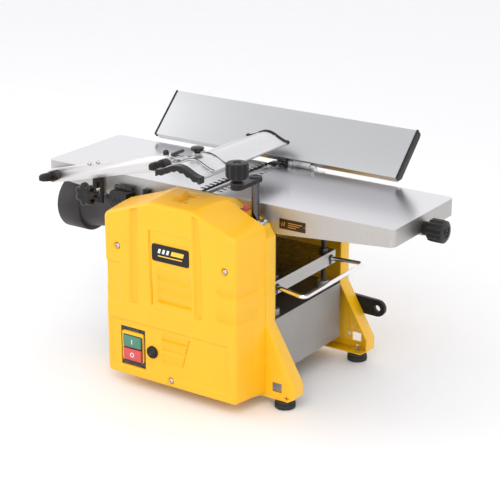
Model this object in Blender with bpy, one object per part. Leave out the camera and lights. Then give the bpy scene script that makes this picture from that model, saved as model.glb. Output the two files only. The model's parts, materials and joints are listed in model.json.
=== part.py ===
"""Bench planer-thicknesser with pressed yellow side frames, as an assembly of separate sub-parts.

The world frame is in metres, +Z up, with the floor at z = 0.  The dimensions below are in
millimetres in the machine's own frame: X runs along the tables (+X is the infeed end) from the
cutterblock's axis, Y runs from the tables' front edge towards the fence, and Z is the height
above the floor.  The DATUM empty moves that frame so that the origin is under the middle of
the machine.
"""
import bmesh
import bpy
from math import atan2, cos, hypot, pi, radians, sin
from mathutils import Matrix, Vector

MM = 0.001
GAP = 0.35                       # clearance between neighbouring pieces

# ---- driving dimensions -------------------------------------------------------------------
TABLE_TOP = 361.0
TABLE_WIDTH = 212.0
INFEED_END = 373.5
OUTFEED_END = -363.5
TABLE_SKIN = 7.0
SKIRT = 5.0
END_DEPTH = 31.0                 # height of the tables' end faces
ROOT_DEPTH = 50.0                # height of the tables beside the body
LIP_EDGE = 12.6
COMB_COUNT = 15
COMB_PITCH = 13.0

BODY_HALF = 145.0                # half width of the side frames and base box
FRONT_WEB = -29.0                # outer faces of the two side frames
REAR_WEB = 250.0
FRAME_DEPTH = 28.6
SHEET = 2.5
LEG_SPREAD = 204.0
SHOULDER = 151.0                 # height where the legs start to splay
KNEE = 48.0
FOOT_HEIGHT = 16.0

COVER_FRONT = -104.0
COVER_WALL = 3.0
BASE_TOP = 153.0
BASE_BOTTOM = 44.0

CUTTER_RADIUS = 26.0             # cutting circle, level with the table tops
CUTTER_BODY = 25.0
KNIFE_TURN = 38.0                # degrees that the first knife is past the top
CUTTER_AXIS = TABLE_TOP - CUTTER_RADIUS
JOURNAL = 7.5
BEARING = 17.5
MOTOR_AXIS = 90.0
BELT_NEAR = -61.0
BELT_WIDTH = 13.0
CUTTER_PULLEY = 17.0
MOTOR_PULLEY = 24.0

ROLLER_X = 50.0
ROLLER_RADIUS = 13.0
ROLLER_AXIS = TABLE_TOP - 39.0
ROLLER_SPROCKET = 11.0
FEED_CHAIN_NEAR = 253.5
GEARBOX_AXIS = (0.0, TABLE_TOP - 92.0)

BED_TOP = 221.0                  # thicknessing table's surface at rest
BED_THICK = 25.0
BED_HALF = 141.0
BED_SIDES = (4.0, 208.0)
BAR_RADIUS = 4.0
BAR_LEVEL = BED_TOP - 12.0
BAR_SOCKETS = (11.0, 191.0)      # where the support bar's legs enter the table's end face
BAR_CORNERS = (-6.0, 200.0)      # the legs splay outwards to these corners
BAR_REACH = BED_HALF + 66.0
SCREW_X = 126.0
SCREW_Y = (22.0, 190.0)
SCREW_RADIUS = 5.0
CLUTCH_HUB = (84.0, TABLE_TOP - 254.0)
CRANK_XY = (113.0, -15.0)
CRANK_REACH = 55.0
CRANK_TOP = TABLE_TOP + 42.0      # where the shaft carries the crank
CHAIN_LEVEL = 134.0
SCREW_SPROCKET = 12.0
CRANK_SPROCKET = 7.5

FENCE_LEFT = -273.0
FENCE_RIGHT = 257.0
FENCE_HEIGHT = 102.0
FENCE_DEPTH = 15.0
FENCE_TILT = 44.0                # degrees up from the table at rest
FENCE_FOOT = (213.0, TABLE_TOP + 15.0)
FENCE_PIVOT = (214.3, TABLE_TOP + 5.1)

ARM_PIVOT = (-333.0, TABLE_TOP - 22.0)
HOLDER_PIVOT = (-76.0, TABLE_TOP + 42.0)
ARM_FACE = -14.0
ARM_THICK = 8.0
LOCK_X = -240.0                  # star knob that locks the arm's height
LOCK_Z = TABLE_TOP - 36.0
GUARD_X = -6.0
GUARD_HALF = 45.0
GUARD_EDGE = TABLE_TOP + 46.0
GUARD_RISE = 14.0
GUARD_FRONT = -62.0
GUARD_BACK = 200.0

DATUM = (-11.25, -94.66, 0.0)     # shift that centres the machine over the origin

COLOURS = {                      # colour, roughness, metallic
    "yellow_plastic": ((0.95, 0.52, 0.02), 0.38, 0.0),
    "yellow_steel": ((0.93, 0.50, 0.02), 0.40, 0.0),
    "black_plastic": ((0.030, 0.028, 0.030), 0.50, 0.0),
    "aluminium": ((0.66, 0.65, 0.68), 0.34, 1.0),
    "cast_table": ((0.60, 0.59, 0.62), 0.40, 1.0),
    "motor_case": ((0.10, 0.10, 0.11), 0.50, 0.8),
    "grey_sheet": ((0.36, 0.35, 0.33), 0.48, 0.3),
    "dark_steel": ((0.07, 0.065, 0.06), 0.45, 0.8),
    "bright_steel": ((0.62, 0.62, 0.63), 0.25, 1.0),
    "chrome": ((0.80, 0.80, 0.82), 0.08, 1.0),
    "rubber": ((0.020, 0.020, 0.020), 0.80, 0.0),
    "green": ((0.02, 0.30, 0.12), 0.40, 0.0),
    "red": ((0.65, 0.03, 0.04), 0.40, 0.0),
}


# ---- solids --------------------------------------------------------------------------------
def prism(outline, axis, low, high):
    """A solid with the given outline, extruded along one axis.

    The outline's points are (y, z) for axis X, (x, z) for axis Y and (x, y) for axis Z.
    """
    def point(pair, level):
        u, v = pair
        return {"X": (level, u, v), "Y": (u, level, v), "Z": (u, v, level)}[axis]

    shape = bmesh.new()
    bottom = [shape.verts.new(point(p, low)) for p in outline]
    top = [shape.verts.new(point(p, high)) for p in outline]
    shape.faces.new(bottom)
    shape.faces.new(top)
    for i in range(len(outline)):
        j = (i + 1) % len(outline)
        shape.faces.new((bottom[i], bottom[j], top[j], top[i]))
    bmesh.ops.recalc_face_normals(shape, faces=shape.faces)
    return shape


def box(x, y, z):
    return prism([(x[0], y[0]), (x[1], y[0]), (x[1], y[1]), (x[0], y[1])], "Z", z[0], z[1])


def turned(profile, centre, axis="Z", sides=24, ring=False):
    """A turned solid: profile points are (radius, distance along the axis from the centre).

    A solid profile starts and ends on the axis; a ring's profile is a closed loop off it.
    """
    turn = {"Z": Matrix.Identity(3),
            "Y": Matrix(((0, 1, 0), (0, 0, 1), (1, 0, 0))),
            "X": Matrix(((0, 0, 1), (1, 0, 0), (0, 1, 0)))}[axis]
    shape = bmesh.new()
    rows = []
    for radius, along in profile:
        count = sides if radius > 1e-6 else 1
        row = []
        for i in range(count):
            angle = 2 * pi * (i + 0.5) / sides
            local = Vector((radius * cos(angle), radius * sin(angle), along))
            row.append(shape.verts.new(turn @ local + Vector(centre)))
        rows.append(row)
    pairs = list(zip(rows, rows[1:] + rows[:1])) if ring else list(zip(rows, rows[1:]))
    for a, b in pairs:
        for i in range(sides):
            corners = [a[i % len(a)], a[(i + 1) % len(a)], b[(i + 1) % len(b)], b[i % len(b)]]
            face = []
            for corner in corners:
                if corner not in face:
                    face.append(corner)
            shape.faces.new(face)
    bmesh.ops.recalc_face_normals(shape, faces=shape.faces)
    return shape


def rod(centre, axis, low, high, radius, sides=20):
    return turned([(0, low), (radius, low), (radius, high), (0, high)], centre, axis, sides)


def washer(centre, axis, low, high, inner, outer, sides=24):
    loop = [(inner, low), (outer, low), (outer, high), (inner, high)]
    return turned(loop, centre, axis, sides, ring=True)


def loft(sections):
    """A solid through a list of closed sections, each a list of the same number of points."""
    shape = bmesh.new()
    rows = [[shape.verts.new(p) for p in section] for section in sections]
    for a, b in zip(rows, rows[1:]):
        for i in range(len(a)):
            j = (i + 1) % len(a)
            shape.faces.new((a[i], a[j], b[j], b[i]))
    shape.faces.new(rows[0])
    shape.faces.new(rows[-1])
    bmesh.ops.recalc_face_normals(shape, faces=shape.faces)
    return shape


def scratch(shape):
    mesh = bpy.data.meshes.new("scratch")
    shape.to_mesh(mesh)
    shape.free()
    thing = bpy.data.objects.new("scratch", mesh)
    bpy.context.scene.collection.objects.link(thing)
    return thing


def combine(shape, others, operation):
    """Boolean the other shapes into the first one, and return the result as one shape."""
    base = scratch(shape)
    tools = [scratch(other) for other in others]
    for tool in tools:
        step = base.modifiers.new("step", "BOOLEAN")
        step.operation = operation
        step.solver = "EXACT"
        step.object = tool
    graph = bpy.context.evaluated_depsgraph_get()
    result = bmesh.new()
    result.from_mesh(base.evaluated_get(graph).data)
    for thing in [base, *tools]:
        bpy.data.objects.remove(thing)
    bmesh.ops.dissolve_limit(result, angle_limit=radians(0.05), verts=result.verts,
                             edges=result.edges)
    bmesh.ops.remove_doubles(result, verts=result.verts, dist=0.001)
    return result


def cut(shape, *tools):
    return combine(shape, tools, "DIFFERENCE")


def fuse(shape, *others):
    return combine(shape, others, "UNION")


def together(*shapes):
    """Several solids that don't touch, as one cutting tool."""
    whole = bmesh.new()
    for shape in shapes:
        mesh = bpy.data.meshes.new("scratch")
        shape.to_mesh(mesh)
        shape.free()
        whole.from_mesh(mesh)
        bpy.data.meshes.remove(mesh)
    return whole


def turn_shape(shape, centre, axis, degrees):
    spin = Matrix.Rotation(radians(degrees), 3, axis)
    bmesh.ops.rotate(shape, verts=shape.verts, cent=centre, matrix=spin)
    return shape


def inset(outline, amount):
    """The outline moved inwards by a distance, for an outline listed anticlockwise."""
    moved = []
    for i, (x, y) in enumerate(outline):
        before, after = outline[i - 1], outline[(i + 1) % len(outline)]
        normals = []
        for (ax, ay), (bx, by) in ((before, (x, y)), ((x, y), after)):
            length = hypot(bx - ax, by - ay)
            normals.append(((ay - by) / length, (bx - ax) / length))
        (px, py), (qx, qy) = normals
        share = amount / (1 + px * qx + py * qy)
        moved.append((x + (px + qx) * share, y + (py + qy) * share))
    return moved


def wrap(circles, margin, arc=6):
    """The outline of a band round circles (x, y, radius), listed anticlockwise, all on the hull."""
    outline = []
    count = len(circles)
    for i, (x, y, radius) in enumerate(circles):
        angles = []
        for a, b in ((circles[i - 1], circles[i]), (circles[i], circles[(i + 1) % count])):
            heading = atan2(b[1] - a[1], b[0] - a[0])
            lean = (a[2] - b[2]) / hypot(b[0] - a[0], b[1] - a[1])
            angles.append(heading - pi / 2 + lean)
        start, end = angles
        while end < start:
            end += 2 * pi
        for k in range(arc + 1):
            angle = start + (end - start) * k / arc
            outline.append((x + (radius + margin) * cos(angle), y + (radius + margin) * sin(angle)))
    return outline


def band(circles, axis, low, high, thickness, arc=6):
    outer = prism(wrap(circles, GAP + thickness, arc), axis, low, high)
    return cut(outer, prism(wrap(circles, GAP, arc), axis, low - 1, high + 1))


# ---- objects -------------------------------------------------------------------------------
def material(name):
    found = bpy.data.materials.get(name)
    if found:
        return found
    colour, roughness, metallic = COLOURS[name]
    made = bpy.data.materials.new(name)
    made.use_nodes = True
    shader = made.node_tree.nodes["Principled BSDF"]
    shader.inputs["Base Color"].default_value = (*colour, 1.0)
    shader.inputs["Roughness"].default_value = roughness
    shader.inputs["Metallic"].default_value = metallic
    made.diffuse_color = (*colour, 1.0)
    return made


def piece(name, shape, finish, pivot=(0.0, 0.0, 0.0)):
    """An object whose mesh is relative to its pivot, parented to the machine's datum."""
    bmesh.ops.translate(shape, verts=shape.verts, vec=-Vector(pivot))
    bmesh.ops.scale(shape, verts=shape.verts, vec=(MM, MM, MM))
    mesh = bpy.data.meshes.new(name)
    shape.to_mesh(mesh)
    shape.free()
    mesh.shade_smooth()
    mesh.set_sharp_from_angle(angle=radians(32))
    mesh.materials.append(material(finish))
    thing = bpy.data.objects.new(name, mesh)
    bpy.context.scene.collection.objects.link(thing)
    thing.parent = bpy.data.objects["datum"]
    thing.location = Vector(pivot) * MM
    return thing


def clear_scene():
    for thing in list(bpy.data.objects):
        bpy.data.objects.remove(thing)
    datum = bpy.data.objects.new("datum", None)
    bpy.context.scene.collection.objects.link(datum)
    datum.location = Vector(DATUM) * MM


# ---- side frames, base, feet ---------------------------------------------------------------
def frame_outline(crown, crown_half):
    """Half of the frame's outline on the right, mirrored: legs, sides, shoulders and crown."""
    right = [(LEG_SPREAD - 14, FOOT_HEIGHT), (LEG_SPREAD, FOOT_HEIGHT + 9), (LEG_SPREAD, KNEE),
             (BODY_HALF, SHOULDER), (BODY_HALF, TABLE_TOP - 52), (BODY_HALF - 7, TABLE_TOP - 42),
             (BODY_HALF - 12, TABLE_TOP - 33), (crown_half, crown)]
    return right + [(-x, z) for x, z in reversed(right)]


def leg_window(side):
    low, high = sorted((side * 158, side * 177))
    return box((low, high), (-60, 300), (31, 48))


def side_frame(web, inwards, crown, crown_half):
    """A pressed frame: a web with a flange all round that turns in towards the machine."""
    outline = frame_outline(crown, crown_half)
    rim = web + inwards * FRAME_DEPTH
    floor = web + inwards * SHEET
    shell = prism(outline, "Y", min(web, rim), max(web, rim))
    far = rim + inwards * 5
    hollow = prism(inset(outline, SHEET), "Y", min(floor, far), max(floor, far))
    return cut(shell, hollow, together(leg_window(-1), leg_window(1)))


def front_side_frame():
    shape = side_frame(FRONT_WEB, 1, TABLE_TOP - 0.5, 62)
    shaft_hole = rod((0, 0, CUTTER_AXIS), "Y", -40, -20, 21)
    motor_hole = rod((0, 0, MOTOR_AXIS), "Y", -40, -20, 16)
    crank_hole = rod((*CRANK_XY, 0), "Z", TABLE_TOP - 60, TABLE_TOP + 5, 9.5)
    switch_hole = box((-112, -72), (-40, -20), (52, 108))
    shape = cut(shape, together(shaft_hole, motor_hole, switch_hole), crank_hole)
    piece("front_side_frame", shape, "yellow_steel")


def rear_side_frame():
    shape = side_frame(REAR_WEB, -1, TABLE_TOP - 15, 62)
    shaft_hole = rod((0, 0, CUTTER_AXIS), "Y", 240, 260, 10)
    rollers = [rod((x, 0, ROLLER_AXIS), "Y", 240, 260, 8) for x in (-ROLLER_X, ROLLER_X)]
    notch = box((-30, 30), (210, 236), (TABLE_TOP - 40, TABLE_TOP + 5))
    shape = cut(shape, together(shaft_hole, *rollers), notch)
    piece("rear_side_frame", shape, "yellow_steel")


def feet():
    profile = [(0, 0), (18, 0), (19, 2.5), (17, FOOT_HEIGHT - GAP), (0, FOOT_HEIGHT - GAP)]
    rows = {"front": FRONT_WEB + FRAME_DEPTH / 2, "rear": REAR_WEB - FRAME_DEPTH / 2}
    for row, y in rows.items():
        for side, x in (("left", -176), ("right", 176)):
            shape = turned(profile, (x, y, 0), "Z", 24)
            piece(f"foot_{row}_{side}", shape, "rubber", (x, y, 0))


def base_box():
    """Folded sheet base between the frames: a top plate with screw bosses and two end walls."""
    near, far = GAP, REAR_WEB - FRAME_DEPTH - GAP
    wall = 2.0
    outer = box((-BODY_HALF, BODY_HALF), (near, far), (BASE_BOTTOM, BASE_TOP))
    inner = box((-BODY_HALF + wall, BODY_HALF - wall), (near - 5, far + 5),
                (BASE_BOTTOM - 5, BASE_TOP - 4))
    shape = cut(outer, inner)
    columns = [(side * SCREW_X, y) for side in (-1, 1) for y in SCREW_Y]
    bosses = [rod((x, y, 0), "Z", BASE_TOP - 2, BASE_TOP + 10, 11) for x, y in columns]
    lips = [box(span, (near, far), (BASE_BOTTOM, BASE_BOTTOM + wall))
            for span in ((-BODY_HALF + 1, -BODY_HALF + 15), (BODY_HALF - 15, BODY_HALF - 1))]
    shape = fuse(shape, together(*bosses), together(*lips))
    holes = [rod((x, y, 0), "Z", BASE_TOP - 20, BASE_TOP + 20, SCREW_RADIUS + 0.4)
             for x, y in columns]
    piece("base_box", cut(shape, together(*holes)), "grey_sheet")


# ---- covers and switch -----------------------------------------------------------------------
def cover_ring(y, left, right, crown, shoulder, bottom, grow):
    """One section of the front cover, moved in by grow, as a ring of points at this depth.

    Each side is its half width and the half width of the crown on that side."""
    def flank(half, crown_half):
        return [(half - 6, bottom), (half, bottom + 6), (half, shoulder - 8),
                (half - 5, shoulder), (crown_half, crown)]

    outline = flank(*right) + [(-x, z) for x, z in reversed(flank(*left))]
    return [(x, y, z) for x, z in inset(outline, grow)]


def cover_solid(grow, front, back):
    t = TABLE_TOP
    return loft([
        cover_ring(front, (145, 48), (129, 36), t - 5, t - 41, 26.5, grow),
        cover_ring(front + 4, (149, 51), (133, 39), t - 1.5, t - 36, 23, grow),
        cover_ring(back - 28, (150, 48), (138, 50), t + 3, t - 31, 21, grow),
        cover_ring(back, (151.5, 46), (143.5, 64), t + 5, t - 30, 18.5, grow),
    ])


def front_cover():
    back = FRONT_WEB - GAP
    outer = cover_solid(0, COVER_FRONT, back)
    inner = cover_solid(COVER_WALL, COVER_FRONT + COVER_WALL, back + 0.01)
    lid = box((-200, 200), (back, back + 5), (0, 400))
    outer = cut(outer, inner)
    window = box((-120, -64), (-120, -90), (TABLE_TOP - 319, TABLE_TOP - 243))
    reset = rod((-48, 0, TABLE_TOP - 280), "Y", -120, -90, 9.6)
    piece("front_cover", cut(outer, together(window, reset), lid), "yellow_plastic")


def switch():
    """No-volt switch behind the cover's window: a framed body and two push buttons."""
    x = (-118.5, -65.5)
    z = (TABLE_TOP - 317.5, TABLE_TOP - 244.5)
    body = box(x, (-101.5, -64), z)
    frame_hole = (-112.5, -72.5)
    start = (TABLE_TOP - 282, TABLE_TOP - 259)
    stop = (TABLE_TOP - 307, TABLE_TOP - 284)
    wells = [box(frame_hole, (-110, -90), span) for span in (start, stop)]
    piece("switch_body", cut(body, together(*wells)), "yellow_plastic")
    for name, span, finish in (("start_button", start, "green"), ("stop_button", stop, "red")):
        middle = (sum(frame_hole) / 2, -104.5, sum(span) / 2)
        face = [(frame_hole[0] + 0.5, -95), (frame_hole[1] - 0.5, -95),
                (frame_hole[1] - 0.5, -103.5), (frame_hole[1] - 2, -104.8),
                (frame_hole[0] + 2, -104.8), (frame_hole[0] + 0.5, -103.5)]
        piece(name, prism(face, "Z", span[0] + 0.5, span[1] - 0.5), finish, middle)
    centre = (-48, COVER_FRONT, TABLE_TOP - 280)
    stem = [(0, -3.5), (7.5, -3.5), (9, -2), (9, 14), (0, 14)]
    piece("reset_button", turned(stem, centre, "Y"), "black_plastic", centre)


def rear_cover():
    """Moulded cover over the feed drive, open towards the rear frame."""
    low, high = TABLE_TOP - 150, TABLE_TOP - 17
    near, far = REAR_WEB + GAP, REAR_WEB + 44
    wall, corner = 2.5, 14

    def ring(y, half, top, grow):
        """A rectangle with cut corners at this depth, moved in by grow."""
        x, a, b = half - grow, low + grow, top - grow
        outline = [(x - corner, a), (x, a + corner), (x, b - corner), (x - corner, b)]
        outline += [(-px, pz) for px, pz in reversed(outline)]
        return [(px, y, pz) for px, pz in outline]

    slope = (high - (TABLE_TOP - 38)) / (far - 4 - near)
    outer = loft([ring(near, 76, high, 0), ring(far - 4, 73, high - slope * (far - 4 - near), 0),
                  ring(far, 73, high - slope * (far - 4 - near), 4)])
    inner = loft([ring(near - 2, 76, high + 2 * slope, wall),
                  ring(far - 4 - wall, 73, high - slope * (far - 4 - wall - near), wall),
                  ring(far - wall, 73, high - slope * (far - 4 - near), 4 + wall)])
    piece("rear_cover", cut(outer, inner), "yellow_plastic")


# ---- head: bearing plates, cutterblock, rollers ------------------------------------------------
def head_frame():
    """Two bearing plates joined by tie rods, inside the side frames' shells."""
    t = TABLE_TOP
    tall = [(104, t - 62), (104, t - 40), (55, t - 3.6)]
    arch = [(28 * cos(a), CUTTER_AXIS + 28 * sin(a))
            for a in (radians(12 + 19.5 * i) for i in range(5))]
    low = [(104, t - 62), (104, t - 40), (62, t - 24), *arch]
    front = prism(tall + [(-x, z) for x, z in reversed(tall)], "Y", -25, -11)
    rear = prism(low[:-1] + [(-x, z) for x, z in reversed(low)], "Y", 214, 228)
    ties = [rod((x, 0, t - 42), "Y", -18, 221, 7, 16) for x in (-86, 86)]
    shape = fuse(front, together(*ties), rear)
    bores = [rod((0, 0, CUTTER_AXIS), "Y", -30, 255, BEARING + 0.3, 28)]
    for x in (-ROLLER_X, ROLLER_X):
        bores.append(rod((x, 0, ROLLER_AXIS), "Y", -30, 255, 6.4, 16))
    bores.append(rod((-72, 0, t - 46), "Y", -30, 255, 3.5, 12))
    piece("head_frame", cut(shape, together(*bores)), "dark_steel")


def knife_slots(turn):
    """The two slots for knives and clamp bars, at opposite sides of the cutterblock."""
    middle = (0, 0, CUTTER_AXIS)
    slots = []
    for half_turn in (0, 180):
        slot = box((-6, 4), (0, 220), (CUTTER_AXIS + 11, CUTTER_AXIS + 40))
        slots.append(turn_shape(slot, middle, "Y", half_turn + turn))
    return slots


def cutterblock():
    middle = (0, 0, CUTTER_AXIS)
    near, far = 6.0, 206.0
    profile = [(0, -62), (JOURNAL, -62), (JOURNAL, near - 4), (13, near - 4), (13, near),
               (CUTTER_BODY, near), (CUTTER_BODY, far), (13, far), (13, far + 4),
               (JOURNAL, far + 4), (JOURNAL, 248), (5, 248), (5, 250), (0, 250)]
    body = turned(profile, middle, "Y", 36)
    centre = (0, 106, CUTTER_AXIS)
    piece("cutterblock", cut(body, *knife_slots(KNIFE_TURN)), "bright_steel", centre)
    for index, half_turn in enumerate((0, 180)):
        base, top = CUTTER_AXIS + 11 + GAP, CUTTER_AXIS + 25.85
        bar = CUTTER_AXIS + 22.5
        section = [(-6 + GAP, base), (4 - GAP, base), (4 - GAP, bar), (-2.2, bar),
                   (-2.2, top - 2.2), (-3.9, top), (-6 + GAP, top - 0.6)]
        knife = prism(section, "Y", near + 1, far - 1)
        turn_shape(knife, middle, "Y", half_turn + KNIFE_TURN)
        piece(f"knife_{index + 1}", knife, "bright_steel", centre)
    for name, low in (("front_bearing", -24.0), ("rear_bearing", 215.0)):
        shape = washer(middle, "Y", low, low + 12, JOURNAL + 0.3, BEARING, 28)
        piece(name, shape, "bright_steel", (0, low, CUTTER_AXIS))


def cutter_drive():
    near = BELT_NEAR
    pulley = washer((0, 0, CUTTER_AXIS), "Y", near, near + BELT_WIDTH, JOURNAL + 0.3,
                    CUTTER_PULLEY)
    piece("cutterblock_pulley", pulley, "dark_steel", (0, near, CUTTER_AXIS))
    middle = (0, 0, MOTOR_AXIS)
    profile = [(0, near), (MOTOR_PULLEY, near), (MOTOR_PULLEY, near + BELT_WIDTH),
               (7, near + BELT_WIDTH), (7, 12), (0, 12)]
    piece("motor_pulley", turned(profile, middle, "Y"), "dark_steel", (0, near, MOTOR_AXIS))
    circles = [(0, MOTOR_AXIS, MOTOR_PULLEY), (0, CUTTER_AXIS, CUTTER_PULLEY)]
    piece("drive_belt", band(circles, "Y", near + 1, near + BELT_WIDTH - 1, 3.5, 10), "rubber")
    body = [(0, 14), (30, 14), (44, 22), (44, 150), (34, 178), (0, 178)]
    case = turned(body, middle, "Y", 28)
    foot = box((-34, 34), (30, 150), (BASE_BOTTOM + 0.5, MOTOR_AXIS - 20))
    recess = rod(middle, "Y", 0, 17, 9)
    piece("motor", cut(fuse(case, foot), recess), "motor_case")


def feed_rollers():
    for name, x in (("infeed_roller", -ROLLER_X), ("outfeed_roller", ROLLER_X)):
        centre = (x, 0, ROLLER_AXIS)
        low = FEED_CHAIN_NEAR
        wide = ROLLER_SPROCKET
        profile = [(0, -24), (6, -24), (6, 8), (ROLLER_RADIUS, 8), (ROLLER_RADIUS, 204), (6, 204),
                   (6, low), (wide, low), (wide, low + 5), (6, low + 5), (6, low + 8),
                   (0, low + 8)]
        piece(name, turned(profile, centre, "Y", 20), "dark_steel", (x, 106, ROLLER_AXIS))


def feed_drive():
    x, z = GEARBOX_AXIS
    low = FEED_CHAIN_NEAR
    wide = ROLLER_SPROCKET
    near, far = low + 8, low + 34
    case = box((x - 34, x + 34), (near, far), (z - 34, z + 30))
    seat = rod((x, 0, z), "Y", near - 5, near + 14, 6.4, 16)
    piece("feed_gearbox", cut(case, seat), "aluminium")
    profile = [(0, low), (wide, low), (wide, low + 5), (6, low + 5), (6, near + 12),
               (0, near + 12)]
    piece("gearbox_sprocket", turned(profile, (x, 0, z), "Y", 20), "dark_steel", (x, low, z))
    circles = [(x, z, wide), (ROLLER_X, ROLLER_AXIS, wide), (-ROLLER_X, ROLLER_AXIS, wide)]
    piece("feed_chain", band(circles, "Y", low + 0.5, low + 4.5, 3.0, 7), "dark_steel")


def anti_kickback():
    """A comb of pawls on one shaft that trails behind the feed at the infeed side."""
    x, z = -72.0, TABLE_TOP - 46.0
    shape = rod((x, 0, z), "Y", -24, 227, 3.0, 12)
    fingers = []
    for i in range(12):
        y = 16 + i * 16.0
        outline = [(x - 5, z + 4), (x - 5, z - 5), (x + 3, z - 11), (x + 6.5, z - 11),
                   (x + 5, z + 4)]
        fingers.append(prism(outline, "Y", y - 3, y + 3))
    piece("anti_kickback_pawls", fuse(shape, together(*fingers)), "dark_steel", (x, 106, z))


def clutch_lever():
    """Flat lever outside the rear frame that engages the roller feed."""
    hub = CLUTCH_HUB
    reach, half, droop = 123.0, 16.0, 1.6
    near, far = REAR_WEB + 1.5, REAR_WEB + 10.0
    tip = [(hub[0] + reach + half * cos(a), hub[1] + half * sin(a))
           for a in (radians(-90 + 22.5 * i) for i in range(9))]
    outline = [(hub[0], hub[1] - 17), *tip, (hub[0], hub[1] + 17)]
    blade = prism(outline, "Y", near, far)
    shape = fuse(blade, rod((hub[0], 0, hub[1]), "Y", near - 0.5, far + 3, 19, 24))
    holes = together(rod((hub[0] + reach, 0, hub[1]), "Y", 240, 270, 6.5, 16),
                     rod((hub[0], 0, hub[1]), "Y", far + 1, 270, 5, 12))
    shape = turn_shape(cut(shape, holes), (hub[0], 0, hub[1]), "Y", droop)
    piece("feed_clutch_lever", shape, "black_plastic", (hub[0], near, hub[1]))


# ---- planing tables --------------------------------------------------------------------------
def table(name, end):
    side = 1 if end > 0 else -1
    t = TABLE_TOP
    reach = abs(end)
    profile = [(LIP_EDGE, 0), (LIP_EDGE, -1.8), (20, -7), (24, -12), (29, -22), (96, -22),
               (109, -ROOT_DEPTH), (150, -ROOT_DEPTH), (reach, -END_DEPTH), (reach, 0)]
    shape = prism([(side * x, t + z) for x, z in profile], "Y", 0, TABLE_WIDTH)
    corners = [e for e in shape.edges
               if all(abs(v.co.x - end) < 0.01 for v in e.verts)
               and abs(e.verts[0].co.z - e.verts[1].co.z) > 5]
    bmesh.ops.bevel(shape, geom=corners, offset=9, segments=4, profile=0.5, affect="EDGES")
    boss = rod((0, TABLE_WIDTH / 2, t - 26), "X", reach - 24, reach - 0.5, 13)
    if side > 0:
        shape = fuse(shape, boss)
    pocket = box(sorted((side * 30, side * (reach - SKIRT))), (SKIRT, TABLE_WIDTH - SKIRT),
                 (t - 70, t - TABLE_SKIN))
    if side > 0:
        pocket = cut(pocket, rod((0, TABLE_WIDTH / 2, t - 26), "X", reach - 24, reach, 13))
    combs = []
    for i in range(COMB_COUNT):
        y = TABLE_WIDTH / 2 + (i - (COMB_COUNT - 1) / 2) * COMB_PITCH
        combs.append(box(sorted((side * (LIP_EDGE - 2), side * 23)), (y - 3, y + 3),
                         (t - 30, t + 5)))
    shape = cut(shape, pocket, together(*combs))
    if side > 0:
        shape = cut(shape, rod((0, TABLE_WIDTH / 2, t - 26), "X", reach - 40, reach + 5, 6))
    else:
        lug = box((LOCK_X - 11, LOCK_X + 11), (0.4, 9), (LOCK_Z - 11, t - 20))
        shape = cut(fuse(shape, lug), rod((LOCK_X, 0, LOCK_Z), "Y", -5, 20, 3.4, 12))
    piece(name, shape, "cast_table", (end, TABLE_WIDTH / 2, t))


def infeed_knob():
    """Ribbed depth knob with its collar and screw, on the infeed table's end."""
    centre = (INFEED_END, TABLE_WIDTH / 2, TABLE_TOP - 26)
    profile = [(0, -60), (5, -60), (5, 1), (12, 1), (12, 9), (17, 11), (20, 14), (20, 37),
               (17.5, 41), (0, 41)]
    piece("infeed_knob", turned(profile, centre, "X", 28), "black_plastic", centre)


# ---- thicknessing table and its lift --------------------------------------------------------------
def thicknessing_table():
    low, high = BED_TOP - BED_THICK, BED_TOP
    near, far = BED_SIDES
    shape = box((-BED_HALF, BED_HALF), BED_SIDES, (low, high))
    pocket = box((-108, 108), (near + 8, far - 8), (low - 5, high - 8))
    columns = [(side * SCREW_X, y) for side in (-1, 1) for y in SCREW_Y]
    holes = [rod((x, y, 0), "Z", low - 5, high + 5, SCREW_RADIUS + 0.4) for x, y in columns]
    sockets = [rod((0, y, BAR_LEVEL), "X", BED_HALF - 6, BED_HALF + 5, BAR_RADIUS + GAP, 16)
               for y in BAR_SOCKETS]
    shape = cut(shape, together(pocket, *holes), together(*sockets))
    piece("thicknessing_table", shape, "cast_table", (0, 106, BED_TOP))


def rounded_corner(before, corner, after, radius, count):
    """Points of a curve that leaves one straight stretch of a path and joins the next."""
    corner = Vector(corner)
    start = corner + (Vector(before) - corner).normalized() * radius
    end = corner + (Vector(after) - corner).normalized() * radius
    points = []
    for i in range(count + 1):
        t = i / count
        points.append(start * (1 - t) ** 2 + corner * (2 * t * (1 - t)) + end * t ** 2)
    return points


def support_bar():
    """Bent round bar that carries the board beyond the thicknessing table's outfeed end."""
    start, straight = BED_HALF - 5, BED_HALF + 2
    near, far = [(BAR_REACH, y) for y in BAR_CORNERS]
    near_leg, far_leg = [(straight, y) for y in BAR_SOCKETS]
    path = [Vector((start, BAR_SOCKETS[0])), Vector(near_leg)]
    path += rounded_corner(near_leg, near, far, 14, 5)
    path += rounded_corner(near, far, far_leg, 14, 5)
    path += [Vector(far_leg), Vector((start, BAR_SOCKETS[1]))]
    sides = 12
    sections = []
    for i, point in enumerate(path):
        along = (path[min(i + 1, len(path) - 1)] - path[max(i - 1, 0)]).normalized()
        across = Vector((along.y, -along.x))
        ring = []
        for k in range(sides):
            a = 2 * pi * k / sides
            x, y = point + across * (BAR_RADIUS * cos(a))
            ring.append((x, y, BAR_LEVEL + BAR_RADIUS * sin(a)))
        sections.append(ring)
    piece("outfeed_support_bar", loft(sections), "chrome", (BED_HALF, 106, BAR_LEVEL))


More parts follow.
